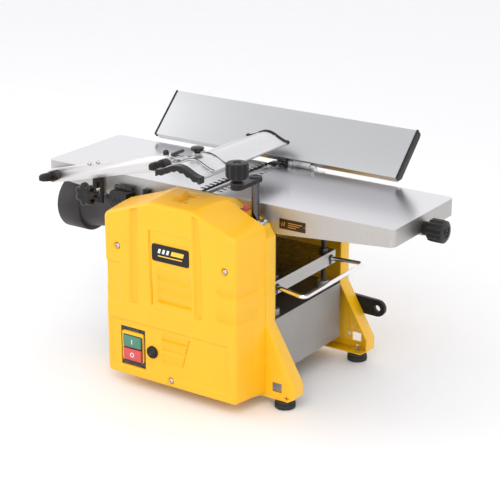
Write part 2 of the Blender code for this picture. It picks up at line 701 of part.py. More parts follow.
def lift():
    """Four lift screws turned by one chain from the crank's shaft."""
    wide = SCREW_SPROCKET
    level = CHAIN_LEVEL
    for row, y in zip(("front", "rear"), SCREW_Y):
        for side, x in (("left", -SCREW_X), ("right", SCREW_X)):
            profile = [(0, level - 4), (SCREW_RADIUS, level - 4), (SCREW_RADIUS, level),
                       (wide, level), (wide, level + 5), (SCREW_RADIUS, level + 5),
                       (SCREW_RADIUS, TABLE_TOP - 24), (0, TABLE_TOP - 24)]
            name = f"lift_screw_{row}_{side}"
            piece(name, turned(profile, (x, y, 0), "Z", 16), "dark_steel", (x, y, level))
    near, far = SCREW_Y
    cx, cy = CRANK_XY
    small = CRANK_SPROCKET
    circles = [(-SCREW_X, near, wide), (cx, cy, small), (SCREW_X, near, wide),
               (SCREW_X, far, wide), (-SCREW_X, far, wide)]
    piece("lift_chain", band(circles, "Z", level + 0.5, level + 4.5, 3.0, 5), "dark_steel")
    profile = [(0, level - 6), (5, level - 6), (5, level), (small, level), (small, level + 8),
               (7.2, level + 10), (7.2, CRANK_TOP), (0, CRANK_TOP)]
    piece("crank_shaft", turned(profile, (cx, cy, 0), "Z", 20), "dark_steel", (cx, cy, level))


def crank():
    cx, cy = CRANK_XY
    low, high = CRANK_TOP + GAP, CRANK_TOP + 8
    half = 12.0
    pin_y = cy - CRANK_REACH
    outline = [(cx + half * cos(a), cy + half * sin(a))
               for a in (radians(22.5 * i) for i in range(9))]
    outline += [(cx + half * cos(a), pin_y + half * sin(a))
                for a in (radians(180 + 22.5 * i) for i in range(9))]
    arm = prism(outline, "Z", low, high)
    arm = fuse(arm, rod((cx, pin_y, 0), "Z", high - 1, TABLE_TOP + 70, 4, 16))
    piece("crank_arm", arm, "black_plastic", (cx, cy, low))
    top = TABLE_TOP + 89
    base = high + GAP
    profile = [(0, top - 5), (7, top - 5), (7, top), (17, top), (19.5, top - 3), (19.5, top - 23),
               (17, top - 27), (8.5, top - 29), (8.5, base + 6), (12, base + 5), (12, base),
               (4.4, base), (4.4, TABLE_TOP + 71), (0, TABLE_TOP + 71)]
    piece("crank_handle", turned(profile, (cx, pin_y, 0), "Z", 24), "black_plastic",
          (cx, pin_y, base))


# ---- chip hood ---------------------------------------------------------------------------------
def chip_hood():
    """Moulded hood hooked to the outfeed side: a wide mouth that runs into a round port."""
    middle = 104.0

    def oval(x, half_y, half_z, z, square, count=24):
        ring = []
        for i in range(count):
            a = 2 * pi * (i + 0.5) / count
            c, s = cos(a), sin(a)
            c = abs(c) ** square * (1 if c > 0 else -1)
            s = abs(s) ** square * (1 if s > 0 else -1)
            ring.append((x, middle + half_y * c, z + half_z * s))
        return ring

    t = TABLE_TOP
    stations = [(-152, 84, 36, t - 108, 0.35), (-190, 84, 36, t - 106, 0.35),
                (-262, 60, 42, t - 103, 0.7), (-300, 50, 45, t - 102, 1.0),
                (-338, 50, 47, t - 106, 1.0), (-340, 53, 53, t - 110, 1.0),
                (-392, 53, 53, t - 110, 1.0)]
    outer = loft([oval(x, a, b, z, q) for x, a, b, z, q in stations])
    wall = 2.6
    inner = [(x, a - wall, b - wall, z, q) for x, a, b, z, q in stations]
    inner[0] = (-140, *inner[0][1:])
    inner[-1] = (-400, *inner[-1][1:])
    bore = loft([oval(x, a, b, z, q) for x, a, b, z, q in inner])
    piece("chip_hood", cut(outer, bore), "black_plastic")


# ---- cutterblock guard -----------------------------------------------------------------------------
def clamp_lever(name, centre, front):
    """Fishtail clamp lever whose bolt runs along Y."""
    x, z = centre
    outline = [(x + 9, front - 2), (x + 9, front - 12), (x - 3, front - 30), (x - 8, front - 36),
               (x - 14, front - 34), (x - 14, front - 27), (x - 9, front - 12), (x - 9, front - 2)]
    wing = prism(outline, "Z", z - 8, z + 8)
    hub = rod((x, 0, z), "Y", front - 14, front - GAP, 10, 20)
    shape = fuse(wing, hub, rod((x, 0, z), "Y", front - 8, front + 12, 4, 12))
    piece(name, shape, "black_plastic", (x, front, z))


def arm_slot():
    """A slot on an arc about the arm's pivot, wide enough for the lock knob's rod."""
    ax, az = ARM_PIVOT
    radius = hypot(LOCK_X - ax, LOCK_Z - az)
    rest = atan2(LOCK_Z - az, LOCK_X - ax)
    angles = [rest + radians(-10.5 + 19 * i / 6) for i in range(7)]
    inner = [(ax + (radius - 3.6) * cos(a), az + (radius - 3.6) * sin(a)) for a in angles]
    outer = [(ax + (radius + 3.6) * cos(a), az + (radius + 3.6) * sin(a)) for a in angles]
    return prism(inner + outer[::-1], "Y", -20, 5)


def guard_arm():
    """Flat bar from the outfeed table's front edge up to the guard's holder."""
    (ax, az), (bx, bz) = ARM_PIVOT, HOLDER_PIVOT
    length = hypot(bx - ax, bz - az)
    rise = atan2(bz - az, bx - ax)
    near, far = ARM_FACE, ARM_FACE + ARM_THICK
    upper = [(-27, -2), (-24, 7), (-12, 12), (30, 13), (length - 40, 17), (length, 13),
             (length + 13, 4)]
    lower = [(length + 13, -8), (length, -13), (length - 60, -12), (30, -14), (-14, -14),
             (-25, -10)]
    outline = []
    for u, v in upper + lower:
        outline.append((ax + u * cos(rise) - v * sin(rise), az + u * sin(rise) + v * cos(rise)))
    outline.reverse()
    shape = prism(outline, "Y", near, far)
    holes = together(rod((ax, 0, az), "Y", near - 5, far + 5, 4.4, 16),
                     rod((bx, 0, bz), "Y", near - 5, far + 5, 4.4, 16))
    piece("guard_arm", cut(shape, holes), "aluminium", (ax, near, az))
    plate = box((LOCK_X - 14, LOCK_X + 8), (far + GAP, -1.2), (LOCK_Z - 26, TABLE_TOP + 6))
    piece("arm_slot_bracket", cut(plate, arm_slot()), "black_plastic", (ax, near, az))
    clamp_lever("arm_pivot_lever", ARM_PIVOT, near)
    clamp_lever("holder_pivot_lever", HOLDER_PIVOT, near)


def star_outline(centre, radius, dip, lobes, count):
    return [(centre[0] + (radius - dip * (0.5 - 0.5 * cos(lobes * a))) * cos(a),
             centre[1] + (radius - dip * (0.5 - 0.5 * cos(lobes * a))) * sin(a))
            for a in (2 * pi * i / count for i in range(count))]


def arm_lock_knob():
    """Star knob whose threaded rod clamps the slotted bracket to the outfeed table."""
    x, z = LOCK_X, LOCK_Z
    star = prism(star_outline((x, z), 22, 4.5, 7, 42), "Y", -50, -34)
    hub = rod((x, 0, z), "Y", -35, -20, 9, 16)
    shaft = rod((x, 0, z), "Y", -24, 12, 3, 12)
    piece("arm_lock_knob", fuse(star, hub, shaft), "black_plastic", (x, -42, z))


def gable(half, base, rise, thickness, margin=0.0):
    """A low gull-wing section over the cutterblock, as an outline in X and Z."""
    xs = [-1.0, -0.82, -0.45, -0.2, 0.0, 0.2, 0.45, 0.82, 1.0]
    lift = [0.0, 0.06, 0.62, 0.93, 1.0, 0.93, 0.62, 0.06, 0.0]
    over = [(GUARD_X + half * x, base + margin + rise * k + thickness) for x, k in zip(xs, lift)]
    under = [(GUARD_X + half * x, base + margin + rise * k) for x, k in zip(xs, lift)]
    return under + over[::-1]


def guard():
    profile = prism(gable(GUARD_HALF, GUARD_EDGE, GUARD_RISE, 2.6), "Y", GUARD_FRONT, GUARD_BACK)
    piece("guard_profile", profile, "aluminium", (GUARD_X, 70, GUARD_EDGE))
    grip = prism(gable(GUARD_HALF + 2, GUARD_EDGE - 7, GUARD_RISE, 12), "Y",
                 GUARD_FRONT - 16, GUARD_FRONT - GAP)
    piece("guard_handle", grip, "black_plastic", (GUARD_X, GUARD_FRONT, GUARD_EDGE))
    cap = prism(gable(GUARD_HALF + 1.5, GUARD_EDGE - 2, GUARD_RISE, 7), "Y", GUARD_BACK + GAP,
                GUARD_BACK + 6)
    piece("guard_end_cap", cap, "black_plastic", (GUARD_X, GUARD_BACK, GUARD_EDGE))


def guard_holder():
    """Strap over the guard's ridge, with a lug that carries it on the arm's upper pivot."""
    bx, bz = HOLDER_PIVOT
    near, far = -30.0, 16.0
    strap = prism(gable(GUARD_HALF, GUARD_EDGE + 2.6, GUARD_RISE, 3, 0.5), "Y", near, far)
    left = GUARD_X - GUARD_HALF
    back = ARM_FACE + ARM_THICK + 1
    shelf = box((bx - 12, left + 3), (back, far), (GUARD_EDGE + 3.1, GUARD_EDGE + 6.1))
    lug = box((bx - 12, bx + 13), (back, back + 4), (bz - 13, GUARD_EDGE + 6))
    shape = fuse(strap, shelf, lug)
    bolt = rod((bx, 0, bz), "Y", -30, 10, 4.4, 12)
    hole = rod((GUARD_X - 9, -5, 0), "Z", GUARD_EDGE, GUARD_EDGE + 60, 4.3, 12)
    piece("guard_holder", cut(shape, bolt, hole), "aluminium", (bx, ARM_FACE, bz))
    foot = GUARD_EDGE + GUARD_RISE + 6.6
    profile = [(0, -3.2), (3.8, -3.2), (3.8, 0.4), (8, 0.4), (8, 2.5), (5.5, 3), (6, 5.5), (12, 8),
               (12, 12), (9, 14), (0, 14)]
    centre = (GUARD_X - 9, -5, foot)
    piece("guard_clamp_knob", turned(profile, centre, "Z", 20), "black_plastic", centre)


# ---- fence ------------------------------------------------------------------------------------------
def fence():
    """Aluminium fence leaning back, hinged on a bracket behind the tables."""
    y0, z0 = FENCE_FOOT
    c, s = cos(radians(FENCE_TILT)), sin(radians(FENCE_TILT))

    def lean(points):
        """Points given as (distance up the face, depth behind it)."""
        return [(y0 + up * c + back * s, z0 + up * s - back * c) for up, back in points]

    h, d, w = FENCE_HEIGHT, FENCE_DEPTH, 3.0
    section = [(0, 0), (h, 0), (h, d), (h - w, d), (h - w, w), (w, w), (w, d), (0, d)]
    centre = (0, *FENCE_PIVOT)
    plate = prism(lean(section), "X", FENCE_LEFT, FENCE_RIGHT)
    piece("fence_plate", plate, "aluminium", centre)
    rim = [(-1, -1), (h + 1, -1), (h + 1, d - 1), (h - 5, d + 1.5), (8, d + 1.5), (-1, d - 6)]
    for name, x, out in (("fence_cap_left", FENCE_LEFT, -1), ("fence_cap_right", FENCE_RIGHT, 1)):
        span = sorted((x + out * GAP, x + out * 4))
        piece(name, prism(lean(rim), "X", *span), "black_plastic", centre)

    fence_mount(lean, centre)


def fence_mount(lean, centre):
    """Bracket on the rear frame, its hinge pin, the fence's swing plate and the clamp lever."""
    py, pz = FENCE_PIVOT
    t = TABLE_TOP
    foot_low, foot_high = t - 14.6, t - 9.0
    ear = [(py - 0.8, foot_low), (py + 10, foot_low), (py + 10, t - 1), (py + 4.6, pz + 2),
           (py + 2.4, pz + 4.8), (py - 2.4, pz + 4.8), (py - 4.9, pz + 1), (py - 4.6, pz - 2.4),
           (py - 0.8, t - 1.5)]
    ears = [prism(ear, "X", x, x + 8) for x in (34, 82)]
    foot = box((31, 93), (py - 0.8, REAR_WEB - 4), (foot_low, foot_high))
    wing = box((6, 33), (228.6, REAR_WEB - 4), (foot_low, foot_high))
    tab = box((8, 28), (228.6, 232), (foot_low + 1, t + 10))
    pin = rod((0, py, pz), "X", 38, 86, 3, 12)
    shape = fuse(foot, wing, tab, together(*ears), pin)
    lever_x, lever_z = 18.0, t + 2.0
    bolt_hole = rod((lever_x, 0, lever_z), "Y", 220, 240, 3.4, 12)
    piece("fence_bracket", cut(shape, bolt_hole), "bright_steel")

    outline = lean([(-10.6, 5), (-10.6, 19), (34, 19), (34, 3.4), (12, 3.4), (4, 15.6),
                    (-0.6, 15.6), (-0.6, 2.6), (-8.5, 2.6)])
    outline.reverse()
    plate = prism(outline, "X", 43, 81)
    bore = rod((0, py, pz), "X", 30, 90, 3.4, 12)
    piece("fence_swing_plate", cut(plate, bore), "dark_steel", centre)

    near = 232 + GAP
    grip = [(lever_x - 9, near + 2), (lever_x - 9, near + 14), (lever_x + 6, near + 36),
            (lever_x + 14, near + 42), (lever_x + 18, near + 38), (lever_x + 9, near + 14),
            (lever_x + 9, near + 2)]
    hub = rod((lever_x, 0, lever_z), "Y", near, near + 14, 8, 16)
    bolt = rod((lever_x, 0, lever_z), "Y", near - 4.6, near + 6, 3, 12)
    shape = fuse(prism(grip, "Z", lever_z - 6, lever_z + 6), hub, bolt)
    piece("fence_lock_lever", shape, "black_plastic", (lever_x, near, lever_z))


def build():
    clear_scene()
    front_side_frame()
    rear_side_frame()
    feet()
    base_box()
    front_cover()
    switch()
    rear_cover()
    head_frame()
    cutterblock()
    cutter_drive()
    feed_rollers()
    feed_drive()
    anti_kickback()
    clutch_lever()
    table("outfeed_table", OUTFEED_END)
    table("infeed_table", INFEED_END)
    infeed_knob()
    thicknessing_table()
    support_bar()
    lift()
    crank()
    chip_hood()
    guard_arm()
    arm_lock_knob()
    guard_holder()
    guard()
    fence()


build()
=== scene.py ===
import json
from math import cos, hypot, pi, radians, sin

import bmesh
import bpy
from mathutils import Matrix, Vector

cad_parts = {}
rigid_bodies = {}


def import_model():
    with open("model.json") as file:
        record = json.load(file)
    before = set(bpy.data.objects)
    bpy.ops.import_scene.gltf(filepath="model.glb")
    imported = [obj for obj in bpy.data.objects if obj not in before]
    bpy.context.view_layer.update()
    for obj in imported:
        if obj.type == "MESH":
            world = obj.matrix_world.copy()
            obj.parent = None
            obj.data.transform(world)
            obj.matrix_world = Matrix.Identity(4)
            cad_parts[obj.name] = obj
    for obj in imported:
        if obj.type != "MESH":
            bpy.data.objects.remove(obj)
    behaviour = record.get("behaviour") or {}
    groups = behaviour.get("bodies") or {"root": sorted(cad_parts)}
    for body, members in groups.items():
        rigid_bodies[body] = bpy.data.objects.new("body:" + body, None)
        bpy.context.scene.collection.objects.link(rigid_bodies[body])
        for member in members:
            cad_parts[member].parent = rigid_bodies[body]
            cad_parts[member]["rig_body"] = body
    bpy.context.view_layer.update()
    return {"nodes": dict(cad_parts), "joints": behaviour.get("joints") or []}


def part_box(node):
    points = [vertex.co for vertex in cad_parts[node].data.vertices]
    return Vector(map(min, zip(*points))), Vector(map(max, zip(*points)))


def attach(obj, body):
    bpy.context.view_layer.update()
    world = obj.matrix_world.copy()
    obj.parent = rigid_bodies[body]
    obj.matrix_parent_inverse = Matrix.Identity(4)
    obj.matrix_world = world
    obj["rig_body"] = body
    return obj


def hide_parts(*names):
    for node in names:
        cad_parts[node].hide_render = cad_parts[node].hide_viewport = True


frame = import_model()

MM = 0.001
JOINTS = {joint["name"]: joint for joint in frame["joints"]}
ORIGIN = Vector((JOINTS["cutterblock_spin"]["pos_m"][0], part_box("infeed_table")[0].y,
                 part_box("infeed_table")[1].z))
FLOOR = -ORIGIN.z / MM
TO_WORLD = Matrix.Translation(ORIGIN) @ Matrix.Scale(MM, 4)
CORNERS = ("front_left", "front_right", "rear_left", "rear_right")


def span(node):
    """A CAD node's lowest and highest corners, in the machine's millimetres."""
    low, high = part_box(node)
    return (low - ORIGIN) / MM, (high - ORIGIN) / MM


def centre(node):
    low, high = span(node)
    return (low + high) / 2


def pivot(joint):
    return (Vector(JOINTS[joint]["pos_m"]) - ORIGIN) / MM


# ---- materials ----------------------------------------------------------------------------
def node(tree, kind, **values):
    made = tree.nodes.new("ShaderNode" + kind)
    for name, value in values.items():
        if hasattr(made, name):
            setattr(made, name, value)
        else:
            made.inputs[name.replace("_", " ").title()].default_value = value
    return made


def noise(tree, where, scale, detail=3.0, stretch=(1.0, 1.0, 1.0)):
    """Noise in the object's own coordinates, stretched along its axes."""
    mapping = node(tree, "Mapping")
    mapping.inputs["Scale"].default_value = stretch
    tree.links.new(where, mapping.inputs["Vector"])
    made = node(tree, "TexNoise", Scale=scale, Detail=detail)
    tree.links.new(mapping.outputs["Vector"], made.inputs["Vector"])
    return made.outputs["Fac"]


def remap(tree, value, source, target=(0.0, 1.0)):
    """The socket's value, carried from one range to another."""
    made = node(tree, "MapRange")
    for name, number in zip(("From Min", "From Max", "To Min", "To Max"), (*source, *target)):
        made.inputs[name].default_value = number
    tree.links.new(value, made.inputs["Value"])
    return made.outputs["Result"]


def spread(tree, value, low, high):
    """Noise stays mostly between 0.3 and 0.7: this opens it out to a range of its own."""
    return remap(tree, value, (0.3, 0.7), (low, high))


def blend(tree, amount, first, second):
    """Mix two colours, each a tuple or a socket, by a socket."""
    made = node(tree, "Mix", data_type="RGBA")
    tree.links.new(amount, made.inputs["Factor"])
    for name, value in (("A", first), ("B", second)):
        socket = [s for s in made.inputs if s.name == name and s.type == "RGBA"][0]
        if isinstance(value, tuple):
            socket.default_value = (*value, 1.0)
        else:
            tree.links.new(value, socket)
    return [s for s in made.outputs if s.type == "RGBA"][0]


WORN_EDGE = (0.53, 0.62)         # pointiness at which an edge starts to wear and is fully worn
SCUFF_SCALE = 220.0
COAT_ROUGHNESS = 0.15
GRAIN_HEIGHT = 0.0004            # metres
ALONG_X = (0.03, 1.0, 1.0)       # stretches the noise into a grain that runs this way
ALONG_Y = (1.0, 0.03, 1.0)
PAINT = {}


def finish(name, colour, rough, metallic=0.0, patch=0.06, patch_scale=14.0, rough_spread=0.08,
           grain=0.05, grain_scale=1500.0, stretch=(1.0, 1.0, 1.0), worn=None, specular=0.5,
           coat=0.0):
    """A surface with uneven colour and roughness, a fine grain and, if asked, worn edges."""
    made = bpy.data.materials.new(name)
    made.use_nodes = True
    tree = made.node_tree
    shader = tree.nodes["Principled BSDF"]
    for socket, value in (("Metallic", metallic), ("Specular IOR Level", specular),
                          ("Coat Weight", coat), ("Coat Roughness", COAT_ROUGHNESS)):
        shader.inputs[socket].default_value = value
    where = node(tree, "TexCoord").outputs["Object"]
    patches = noise(tree, where, patch_scale, 4.0)
    fine = noise(tree, where, grain_scale, 2.0, stretch)
    light = tuple(min(1.0, c * (1 + patch)) for c in colour)
    dark = tuple(c * (1 - patch) for c in colour)
    darker = tuple(c * (1 - patch) for c in dark)
    paint = blend(tree, spread(tree, patches, 0.0, 1.0), dark, light)
    paint = blend(tree, spread(tree, fine, 0.0, 0.6), paint, darker)
    roughness = spread(tree, noise(tree, where, patch_scale * 3.1, 5.0), rough - rough_spread / 2,
                       rough + rough_spread / 2)
    if worn:
        sharp = remap(tree, node(tree, "NewGeometry").outputs["Pointiness"], WORN_EDGE)
        scuffs = node(tree, "Math", operation="MULTIPLY")
        tree.links.new(sharp, scuffs.inputs[0])
        where_worn = spread(tree, noise(tree, where, SCUFF_SCALE, 6.0), 0.0, 0.9)
        tree.links.new(where_worn, scuffs.inputs[1])
        paint = blend(tree, scuffs.outputs["Value"], paint, worn)
    bump = node(tree, "Bump", Strength=grain, Distance=GRAIN_HEIGHT)
    tree.links.new(fine, bump.inputs["Height"])
    tree.links.new(bump.outputs["Normal"], shader.inputs["Normal"])
    tree.links.new(paint, shader.inputs["Base Color"])
    tree.links.new(roughness, shader.inputs["Roughness"])
    PAINT[name] = made


finish("yellow_plastic", (0.93, 0.485, 0.008), 0.36, patch=0.03, grain=0.10, grain_scale=900.0,
       worn=(1.0, 0.66, 0.10))
finish("yellow_paint", (0.92, 0.50, 0.004), 0.36, patch=0.04, grain=0.16, grain_scale=600.0,
       worn=(1.0, 0.66, 0.12), coat=0.15)
finish("black_plastic", (0.009, 0.0085, 0.0085), 0.40, specular=0.26, patch=0.16, grain=0.22,
       grain_scale=1300.0, worn=(0.11, 0.10, 0.10))
finish("black_gloss", (0.007, 0.0065, 0.007), 0.28, specular=0.34, patch=0.14, grain=0.08,
       worn=(0.10, 0.095, 0.095))
finish("port_plastic", (0.025, 0.021, 0.023), 0.50, specular=0.34, patch=0.10, grain=0.24,
       grain_scale=1100.0)
finish("machined", (0.70, 0.695, 0.72), 0.22, 1.0, patch=0.006, patch_scale=3.0, rough_spread=0.012,
       grain=0.0, grain_scale=2600.0, stretch=ALONG_X)
finish("cast", (0.50, 0.485, 0.465), 0.42, 1.0, patch=0.02, patch_scale=6.0, rough_spread=0.04,
       grain=0.06, grain_scale=1400.0, worn=(0.78, 0.78, 0.78))
finish("extruded", (0.60, 0.605, 0.61), 0.36, 1.0, patch=0.012, patch_scale=5.0, rough_spread=0.03,
       grain=0.025, grain_scale=2200.0, stretch=ALONG_X)
finish("guard_metal", (0.75, 0.75, 0.76), 0.32, 1.0, patch=0.012, rough_spread=0.03, grain=0.02,
       grain_scale=2200.0, stretch=ALONG_Y)
finish("arm_metal", (0.70, 0.685, 0.68), 0.40, 1.0, patch=0.02, grain=0.03, grain_scale=1800.0,
       stretch=ALONG_X)
finish("grey_sheet", (0.34, 0.325, 0.31), 0.40, 0.35, patch=0.05, grain=0.12, grain_scale=800.0)
finish("dark_plate", (0.085, 0.080, 0.075), 0.34, 0.5, patch=0.16, grain=0.08)
# painted shade and a painted dark reflection: the thicknessing table's machined top, coloured far
# darker than the other machined tops and its own cast sides because it lies in the shade under the
# planing tables
finish("shaded_bed_top", (0.26, 0.25, 0.24), 0.28, 1.0, patch=0.04, rough_spread=0.04, grain=0.015,
       grain_scale=2600.0, stretch=ALONG_X)
finish("dark_steel", (0.10, 0.095, 0.09), 0.36, 0.9, patch=0.20, grain=0.16,
       worn=(0.34, 0.33, 0.32))
finish("shaft_steel", (0.115, 0.11, 0.12), 0.16, 1.0, patch=0.10, grain=0.04)
finish("bright_steel", (0.62, 0.62, 0.63), 0.24, 1.0, patch=0.05, grain=0.10, grain_scale=2400.0,
       stretch=ALONG_Y)
finish("chrome", (0.86, 0.86, 0.88), 0.06, 1.0, patch=0.02, rough_spread=0.04, grain=0.01)
finish("zinc", (0.66, 0.67, 0.66), 0.30, 1.0, patch=0.12, patch_scale=120.0, grain=0.12)
finish("rubber", (0.016, 0.016, 0.017), 0.72, patch=0.20, grain=0.35, grain_scale=900.0,
       worn=(0.06, 0.06, 0.06))
finish("green", (0.075, 0.235, 0.165), 0.34, patch=0.06, grain=0.06)
finish("red", (0.66, 0.085, 0.085), 0.34, patch=0.06, grain=0.06)
finish("white_ink", (0.80, 0.80, 0.78), 0.45, patch=0.04, grain=0.05)
# painted shade: a deeper, darker orange for the floors of the cover's screw wells and the frame's
# slots, where shade falls
finish("painted_shade_orange", (0.62, 0.22, 0.008), 0.45, patch=0.06, grain=0.08)
finish("bronze", (0.060, 0.035, 0.015), 0.34, 0.8, patch=0.14, grain=0.10)
finish("brass", (0.62, 0.42, 0.16), 0.28, 1.0, patch=0.08, grain=0.06)

SLOTS = {                        # the record's slot for each finish whose name isn't a slot's
    "black_gloss": "black_plastic", "port_plastic": "black_plastic", "zinc": "bright_steel",
    "shaft_steel": "dark_steel", "bronze": "dark_steel", "brass": "dark_steel",
    "guard_metal": "aluminium", "white_ink": None,
}


# ---- shapes --------------------------------------------------------------------------------
def circle(count, offset=0.0):
    """Evenly spaced angles once round."""
    return [2 * pi * (k + offset) / count for k in range(count)]


def squared(value, power):
    """A cosine or sine raised to a power with its sign kept, which squares an oval off."""
    return abs(value) ** power * (1 if value > 0 else -1)


def loft(rings, ends=True, loop=False):
    """Quads between rings of the same number of points, with a face over each open end."""
    shape = bmesh.new()
    rows = [[shape.verts.new(p) for p in ring] for ring in rings]
    for a, b in zip(rows, rows[1:] + (rows[:1] if loop else [])):
        for i in range(len(a)):
            j = (i + 1) % len(a)
            shape.faces.new((a[i], a[j], b[j], b[i]))
    if ends and not loop:
        shape.faces.new(rows[0])
        shape.faces.new(rows[-1])
    return shape


def aim(axis):
    return {"X": Matrix(((0, 0, 1), (1, 0, 0), (0, 1, 0))),
            "Y": Matrix(((1, 0, 0), (0, 0, 1), (0, -1, 0))),
            "Z": Matrix.Identity(3)}[axis]


AXIS_HOLE = 0.02                 # stands in for a radius of 0, where points would coincide


def turned(profile, where, axis="Z", sides=64, flutes=0, depth=0.0, fluted=(0, 0)):
    """A turned solid from (radius, distance along the axis) points; flutes run along part of it."""
    turn, origin = aim(axis), Vector(where)
    rings = []
    for radius, along in profile:
        ring = []
        for a in circle(sides):
            r = max(radius, AXIS_HOLE)
            if flutes and fluted[0] <= along <= fluted[1]:
                r -= depth * (0.5 - 0.5 * cos(flutes * a)) ** 0.6
            ring.append(origin + turn @ Vector((r * cos(a), r * sin(a), 0))
                        + Vector(along if axis == name else 0 for name in "XYZ"))
        rings.append(ring)
    return loft(rings)


def bar_profile(radius, low, high):
    """The profile of a plain cylinder, for turned()."""
    return [(0, low), (radius, low), (radius, high), (0, high)]


def ring_of(where, axis, low, high, inner, outer, sides=48):
    """A flat ring or washer round this axis."""
    turn, origin = aim(axis), Vector(where)
    along = Vector(abs(c) for c in turn @ Vector((0, 0, 1)))
    rings = []
    for radius, level in ((inner, low), (outer, low), (outer, high), (inner, high)):
        rings.append([origin + turn @ Vector((radius * cos(a), radius * sin(a), 0)) + along * level
                      for a in circle(sides)])
    return loft(rings, loop=True)


def prism(outline, axis, low, high):
    """An outline in the plane across this axis, carried from one level to another."""
    def point(u, v, level):
        return {"X": (level, u, v), "Y": (u, level, v), "Z": (u, v, level)}[axis]
    return loft([[point(u, v, level) for u, v in outline] for level in (low, high)])


def block(x, y, z):
    """A box over three ranges."""
    return prism([(x[0], y[0]), (x[1], y[0]), (x[1], y[1]), (x[0], y[1])], "Z", *z)


def sweep(path, radius, sides):
    """A round bar along a path that never runs straight up."""
    rings = []
    for i, point in enumerate(path):
        along = (path[min(i + 1, len(path) - 1)] - path[max(i - 1, 0)]).normalized()
        across = along.cross(Vector((0, 0, 1))).normalized()
        over = across.cross(along)
        rings.append([point + radius * cos(a) * across + radius * sin(a) * over
                      for a in circle(sides)])
    return loft(rings)


def together(*shapes):
    """One shape out of several, which are used up."""
    whole = bmesh.new()
    for shape in shapes:
        mesh = bpy.data.meshes.new("scratch")
        shape.to_mesh(mesh)
        shape.free()
        whole.from_mesh(mesh)
        bpy.data.meshes.remove(mesh)
    return whole


def place(name, data):
    thing = bpy.data.objects.new(name, data)
    bpy.context.scene.collection.objects.link(thing)
    return thing


def dress(shape, name, material, bevel, crease, stands_for, body):
    """Turn a shape into a piece with rounded edges that rides this body."""
    mesh = bpy.data.meshes.new(name)
    shape.to_mesh(mesh)
    shape.free()
    thing = place(name, mesh)
    thing.data.materials.append(PAINT[material])
    thing.data.shade_smooth()
    if bevel:
        rounding = thing.modifiers.new("rounding", "BEVEL")
        rounding.width = bevel * MM
        rounding.segments = 3
        rounding.limit_method = "ANGLE"
        rounding.angle_limit = radians(crease)
        rounding.harden_normals = True
    else:
        thing.data.set_sharp_from_angle(angle=radians(crease))
    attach(thing, body)
    if stands_for:
        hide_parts(*stands_for)
    return thing


def piece(name, shape, material, body="machine", slot=None, bevel=0.0, crease=34.0,
          stands_for=()):
    """A new visible piece, from a shape in the machine's millimetres."""
    bmesh.ops.recalc_face_normals(shape, faces=shape.faces)
    shape.transform(TO_WORLD)
    slot = slot or SLOTS.get(material, material)
    dress(shape, name, material, bevel, crease, stands_for, body)


SAME_POINT = 1e-6                # metres
SAME_PLANE = radians(0.6)
LEVEL_FACE = 0.98                # a face with at least this much of its normal upward is a top


def refined(cad_node, material, bevel=0.8, crease=34.0, top=None):
    """A CAD node's own shape with rounded edges.

    top is (material, level): faces that look up, at or above that level, take that material."""
    source = frame["nodes"][cad_node]
    shape = bmesh.new()
    shape.from_mesh(source.data)
    bmesh.ops.remove_doubles(shape, verts=shape.verts, dist=SAME_POINT)
    bmesh.ops.dissolve_limit(shape, angle_limit=SAME_PLANE, verts=shape.verts,
                             edges=shape.edges)
    thing = dress(shape, cad_node + "_skin", material, bevel, crease,
                  [cad_node], source["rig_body"])
    if top:
        other, level = top
        # weighted by area, or the long thin faces round a flat top would shade it in streaks
        even = thing.modifiers.new("even_shading", "WEIGHTED_NORMAL")
        even.weight = 100
        even.keep_sharp = True
        thing.data.materials.append(PAINT[other])
        for face in thing.data.polygons:
            high = (face.center.z - ORIGIN.z) / MM >= level
            if high and face.normal.z > LEVEL_FACE:
                face.material_index = 1


def refined_all(*rows):
    """Refine the nodes in these rows of (node, finish, bevel)."""
    for row in rows:
        refined(*row)


def ramp(low, high, value):
    """0 below the low value and 1 above the high one, with a smooth rise between them."""
    t = min(1.0, max(0.0, (value - low) / (high - low)))
    return t * t * (3 - 2 * t)


def within(low, high, soft, value):
    """1 between the two values and 0 outside them, with soft edges."""
    return ramp(low - soft, low + soft, value) * (1 - ramp(high - soft, high + soft, value))


def screw(name, where, axis, radius, body="machine", material="zinc", sign=1):
    """A domed screw with a socket in its head, standing on the surface at this point."""
    dome = [(0, -0.6), (radius, -0.6), (radius, 0.25 * radius), (0.86 * radius, 0.5 * radius),
            (0.62 * radius, 0.66 * radius), (0.42 * radius, 0.70 * radius),
            (0.38 * radius, 0.25 * radius), (0, 0.22 * radius)]
    shape = turned([(r, sign * d) for r, d in dome], where, axis, 24)
    piece(name, shape, material, body, "bright_steel", crease=40)


def screws(name, places, *options, **named):
    """Numbered screws at these points."""
    for number, where in enumerate(places, 1):
        screw(f"{name}_{number}", where, *options, **named)


# ---- front cover ---------------------------------------------------------------------------
COVER_FACE = span("front_cover")[0].y
COVER_BACK = span("front_cover")[1].y
COVER_EDGE = 6.0                 # radius round the front face
COVER_CORNER = 8.0               # radius of the outline's corners
COVER_STEP = 1.5                 # distance between the points that carry the relief
FACE_END = -95.0                 # the face and its relief stay in front of this level
OPENING_DEPTH = 7.0              # how far the walls of the face's openings run back
RELIEF = 1.45                    # how much deeper the relief is than its pattern's numbers
SCREWS = ((-121.0, -94.0), (109.0, -96.0), (-8.0, -326.0))
SWITCH = ((-119.0, -65.0), (-318.5, -243.5))
RESET = (-48.0, -280.0)
RESET_HOLE = 10.0                # radius of the opening round the reset button


